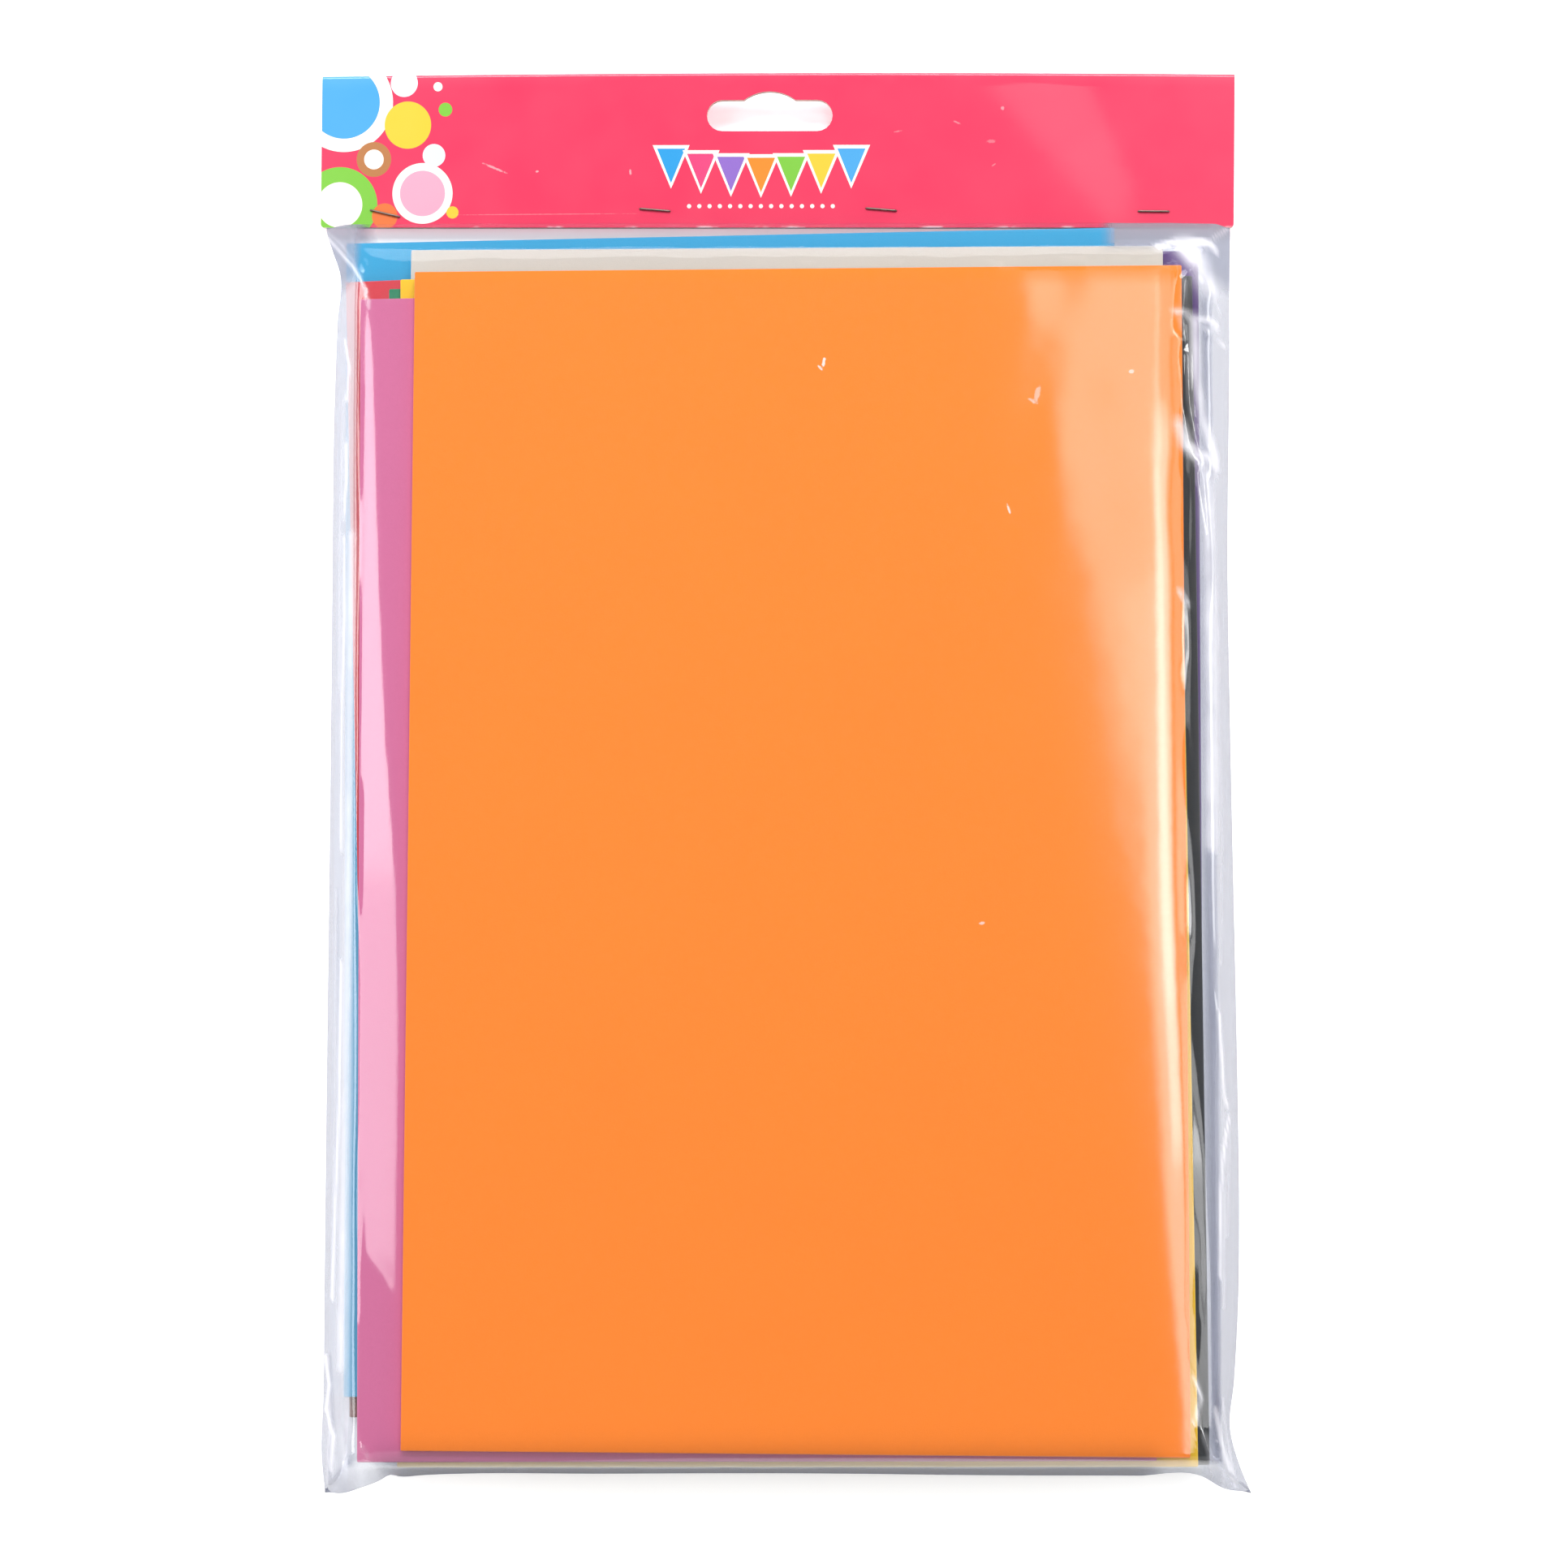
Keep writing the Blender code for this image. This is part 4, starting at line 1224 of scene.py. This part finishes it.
for side in (0, -1):
    rim = SIDE_LEVEL - near_card[:, side] * (SIDE_LEVEL - MOUTH_LEVEL)
    film[:, side] = np.where(in_card[:, side], mouth[:, side] + CARD_RIM_GAP, rim)
free_share = round(float((free > 0.5).mean()) * 100)
print("free film:", free_share, "% of the front, highest", round(float(film.max()), 2), "mm")

# %% [markdown]
# The back wall lies on the floor under the stack and rises to the creases, the weld and the card's edge.
# Between the flaps it stays under the front wall.

# %% Lay the back wall
# Over how many mm the back wall rises to the creases, the weld and the mouth, and its gaps in mm
SIDE_RISE = 4.0
WELD_RISE = 9.0
MOUTH_RISE = 5.0
MOUTH_DROP = 0.3
WALL_GAP = 0.02

back_step = FRONT_COLUMNS // BACK_COLUMNS
back_xy = front_xy[:, ::back_step]
back_x, back_y = back_xy[..., 0], back_xy[..., 1]
back_edge = film[:, ::back_step]
side_distance = np.minimum(back_x - back_x[:, :1], back_x[:, -1:] - back_x)
below_card = card_edge(back_x) - back_y
side_rise = SIDE_LEVEL * np.clip(1 - side_distance / SIDE_RISE, 0, 1)
weld_rise = WELD_HEIGHT * np.clip(1 - (back_y - back_y[-1:]) / WELD_RISE, 0, 1)
mouth_rise = (MOUTH_LEVEL - MOUTH_DROP) * np.clip(1 - below_card / MOUTH_RISE, 0, 1)
back = np.maximum(np.maximum(side_rise, weld_rise), mouth_rise) + FLOOR_CLEARANCE
back = np.where(below_card < 0, card_plane(back_x, back_y) - CARD_RIM_GAP, back)
back = np.minimum(back, back_edge - WALL_GAP)
back[:, 0], back[:, -1], back[-1] = back_edge[:, 0], back_edge[:, -1], back_edge[-1]
print("back wall lies from", round(float(back.min()), 2), "to", round(float(back.max()), 2), "mm")

# %% [markdown]
# Both grids become one mesh. It carries its own values for the material: where the film is creased or
# bears a painted highlight, where it is welded and painted with shade, where it is a side wall that is
# seen at a slant and painted with shade, and where it dives into its mouth.
# A Solidify modifier then gives the wall its thickness.

# %% Join the walls into one bag
FILM_THICKNESS = 0.00006
WELD_AND_SHADE_WIDTH = 7.0
# The weld's tint and its painted shade fade by this share past this x in mm, over so many mm
EAR_FADE = 0.65
EAR_START = 94.0
EAR_BLEND = 6.0
# Where the side walls start, as x in mm, and the corner by the card's right end, as x and y in mm
WALL_STARTS = (-105.9, 108.5)
WALL_CORNER = (85.0, 131.5)
WALL_FADE = 2.4
MOUTH_REACH = 20.0
MOUTH_FADE = 5.0


def film_shares(xy):
    """Shares at each point of the weld's and side walls' looks, both with painted shade, and the mouth's.
    """
    x, y = xy[..., 0], xy[..., 1]
    seam = np.exp(-((distance_to_line(xy, WELD) / WELD_AND_SHADE_WIDTH) ** 2))
    seam *= 1 - EAR_FADE * np.clip((np.abs(x) - EAR_START) / EAR_BLEND, 0, 1)
    beyond = np.maximum(WALL_STARTS[0] - x, x - WALL_STARTS[1])
    beyond = np.maximum(beyond, np.minimum(x - WALL_CORNER[0], y - WALL_CORNER[1]))
    above = y - card_edge(x) + MOUTH_REACH
    return seam, np.clip(beyond / WALL_FADE, 0, 1), np.clip(above / MOUTH_FADE, 0, 1)


def bag_mesh():
    """The front grid and the coarser back grid as one mesh, which shares the creases and the weld."""
    rows, columns = front_xy.shape[:2]
    points = np.concatenate([front_xy, film[..., None]], -1).reshape(-1, 3)
    front = np.arange(rows * columns).reshape(rows, columns)
    back_points = np.concatenate([back_xy, back[..., None]], -1)[:-1, 1:-1].reshape(-1, 3)
    under = np.empty(back.shape, int)
    under[:-1, 1:-1] = len(points) + np.arange(len(back_points)).reshape(rows - 1, -1)
    under[:, 0], under[:, -1], under[-1] = front[:, 0], front[:, -1], front[-1, ::back_step]
    # Rows run towards -Y and columns towards +X, so these quads face up, and those of the back down.
    faces = [(front[r, c], front[r + 1, c], front[r + 1, c + 1], front[r, c + 1])
             for r in range(rows - 1) for c in range(columns - 1)]
    for r in range(rows - 1):
        for c in range(back.shape[1] - 1):
            near = [under[r, c], under[r, c + 1]]
            if r < rows - 2:
                faces.append((*near, under[r + 1, c + 1], under[r + 1, c]))
            else:
                weld = front[-1, c * back_step : (c + 1) * back_step + 1]
                faces.append((*near, *weld[::-1]))
    mesh = bpy.data.meshes.new("film_bag")
    everything = np.concatenate([points, back_points])
    mesh.from_pydata((everything * MM).tolist(), [], [list(map(int, f)) for f in faces])
    shares = dict(zip(("seam", "wall", "mouth"), film_shares(everything[None, :, :2])))
    shares["crease"] = np.concatenate([crease.ravel(), np.zeros(len(back_points))])
    for name, share in shares.items():
        mesh.attributes.new(name, "FLOAT", "POINT").data.foreach_set("value", np.ravel(share))
    return mesh


bag = new_object("clear_film_bag", bag_mesh())
bag.data.shade_smooth()
wall = bag.modifiers.new("film thickness", "SOLIDIFY")
wall.thickness = FILM_THICKNESS
wall.offset = -1.0
keep_mesh(bag)
print("bag faces:", len(bag.data.polygons))

# %% [markdown]
# Clear film is seen by what it mirrors. Straight on it lets nearly everything through, and it mirrors
# more as it turns away, which Fresnel gives. A wall of film has two faces, but shading both would cost
# twice the light paths, so the face that is met from behind is left clear and the other mirrors for
# both. Rays towards a light, and light that a matt face has scattered, also pass it plainly. Where the
# film is creased it turns milky, and a faint haze covers all of it. White strokes along its folds are
# painted highlights, and its white flecks are partly lint and partly painted glints. Its side walls are
# hazier where they are seen along their slope, and their darker tint and grey haze, like the darker band
# at the weld, are partly the film and partly painted shade.

# %% Make the film
FILM_TINT = colour("F8F9FB")
# Side walls: a darker tint and grey haze, partly the film's own and partly painted shade under them
WALL_AND_SHADE_TINT = colour("C4C6D0")
# The band at the weld: partly the welded film's double layer, partly painted shade of the stack's shadow
WELD_AND_SHADE_TINT = colour("6A7088")
WALL_HAZE = 0.42
# A wall seen this square on has the clear share of its haze, and past the second number all of it
CLEAR_FACING = (0.09, 0.16)
CLEAR_SHARE = 0.3
# What two faces mirror, in shares of one, and the most that they mirror
TWO_FACES = 1.8
MOST_MIRROR = 0.24
# The mouth is drawn flat and glares less
MOUTH_MIRROR = 0.12
# What a ray towards a light, or one that a matt face scattered, keeps at each face of the film
SHADOW_TINT = colour("F7F8F9")
FILM_HAZE = 0.004
LINT_AND_GLINT_HAZE = 0.7
# White spots on the film, partly lint and partly painted glints where its ripples would mirror a light
# x and y in mm, half length and half width in mm, turn in degrees, strength
LINT_AND_GLINTS = (
    (13.6, 103.4, 1.6, 0.45, 80, 0.75), (12.7, 102, 1, 0.35, 130, 0.6), (60.6, 65.4, 1.5, 0.35, 110, 0.65),
    (67.9, 94.6, 2.6, 0.8, 75, 0.35), (66.8, 93, 1.4, 0.5, 150, 0.4), (53.6, -39.8, 0.7, 0.5, 20, 0.5),
    (92, 100.5, 0.9, 0.6, 0, 0.45),
)


def film_material():
    material, tree, output = new_material("clear film")
    where = add(tree, "ShaderNodeTexCoord").outputs["Object"]
    crease_and_glint_share, seam, wall, mouth = [add(tree, "ShaderNodeAttribute", attribute_name=name).outputs["Fac"]
                                  for name in ("crease", "seam", "wall", "mouth")]
    crinkle = noise_of(tree, where, 60.0, 2.0, 0.6)
    bump = add(tree, "ShaderNodeBump", {"Strength": 0.5, "Distance": 0.00005, "Height": crinkle})
    mirror = add(tree, "ShaderNodeBsdfAnisotropic", {
        "Color": WHITE, "Roughness": 0.075, "Normal": bump.outputs[0]})
    # White haze for the milky creases and for the painted highlights of the glint strokes
    milk_and_glints = add(tree, "ShaderNodeBsdfDiffuse", {"Color": colour("F4F2F8")})
    # Grey haze on the side walls, partly the film's haze and partly painted shade
    grey_haze_and_shade = add(tree, "ShaderNodeBsdfDiffuse", {"Color": colour("A3A5B1")})
    tint = mix_colour(tree, seam, mix_colour(tree, wall, FILM_TINT, WALL_AND_SHADE_TINT), WELD_AND_SHADE_TINT)
    clear = add(tree, "ShaderNodeBsdfTransparent", {"Color": tint})
    facing = add(tree, "ShaderNodeLayerWeight").outputs["Facing"]
    slanted = map_range(tree, facing, *CLEAR_FACING, CLEAR_SHARE, 1.0)
    wall_haze = math_node(tree, "MULTIPLY", math_node(tree, "MULTIPLY", wall, WALL_HAZE), slanted)
    clear = add(tree, "ShaderNodeMixShader", {0: wall_haze, 1: clear.outputs[0], 2: grey_haze_and_shade.outputs[0]})
    streaky = map_range(tree, crinkle, 0.35, 0.65, 0.6, 1.0)
    haze_and_glints = math_node(tree, "ADD", FILM_HAZE, math_node(tree, "MULTIPLY", crease_and_glint_share, streaky))
    lint_and_glints = math_node(tree, "MULTIPLY", add_marks(tree, where, LINT_AND_GLINTS), LINT_AND_GLINT_HAZE)
    haze_and_glints = math_node(tree, "MAXIMUM", haze_and_glints, lint_and_glints)
    body = add(tree, "ShaderNodeMixShader", {0: haze_and_glints, 1: clear.outputs[0], 2: milk_and_glints.outputs[0]})
    fresnel = add(tree, "ShaderNodeFresnel", {"IOR": 1.5, "Normal": bump.outputs[0]}).outputs[0]
    mirrored = math_node(tree, "MINIMUM", math_node(tree, "MULTIPLY", fresnel, TWO_FACES), MOST_MIRROR)
    at_mouth = map_range(tree, mouth, 0.0, 1.0, 1.0, MOUTH_MIRROR)
    mirrored = math_node(tree, "MULTIPLY", mirrored, at_mouth)
    met = add(tree, "ShaderNodeMixShader", {0: mirrored, 1: body.outputs[0], 2: mirror.outputs[0]})
    ray = add(tree, "ShaderNodeLightPath").outputs
    unseen = math_node(tree, "MAXIMUM", ray["Is Shadow Ray"], ray["Is Diffuse Ray"])
    plain = mix_colour(tree, unseen, WHITE, SHADOW_TINT)
    plain = add(tree, "ShaderNodeBsdfTransparent", {"Color": plain})
    behind = add(tree, "ShaderNodeNewGeometry").outputs["Backfacing"]
    passed = math_node(tree, "MAXIMUM", behind, unseen)
    whole = add(tree, "ShaderNodeMixShader", {0: passed, 1: met.outputs[0], 2: plain.outputs[0]})
    tree.links.new(whole.outputs[0], output.inputs["Surface"])
    return material


bag.data.materials.append(film_material())
dress(bag, "clear_film", "film_bag")
print("film wall in mm:", FILM_THICKNESS / MM)

# %% [markdown]
# The card is tilted and bowed, and the film isn't, so one row of boxes can't draw the glare of both.
# Each kind of box leaves the other piece out, by a light-linking collection that excludes it.

# %% Share out the glare
for thing, boxes in ((card, film_boxes), (bag, card_boxes)):
    left_out = bpy.data.collections.new(f"not on {thing.name}")
    left_out.objects.link(thing)
    left_out.collection_objects[0].light_linking.link_state = "EXCLUDE"
    for box in boxes:
        box.light_linking.receiver_collection = left_out
    print("boxes without", thing.name + ":", len(boxes))

# %% [markdown]
# The dressed pack's box is measured and kept beside its solids' box.

# %% Measure the dressed pack
new_low, new_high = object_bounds()
boxes = {"cad": [list(cad_low), list(cad_high)], "visual": [list(new_low), list(new_high)]}
print("visual box in mm:", [round(x / MM, 1) for x in new_high - new_low])
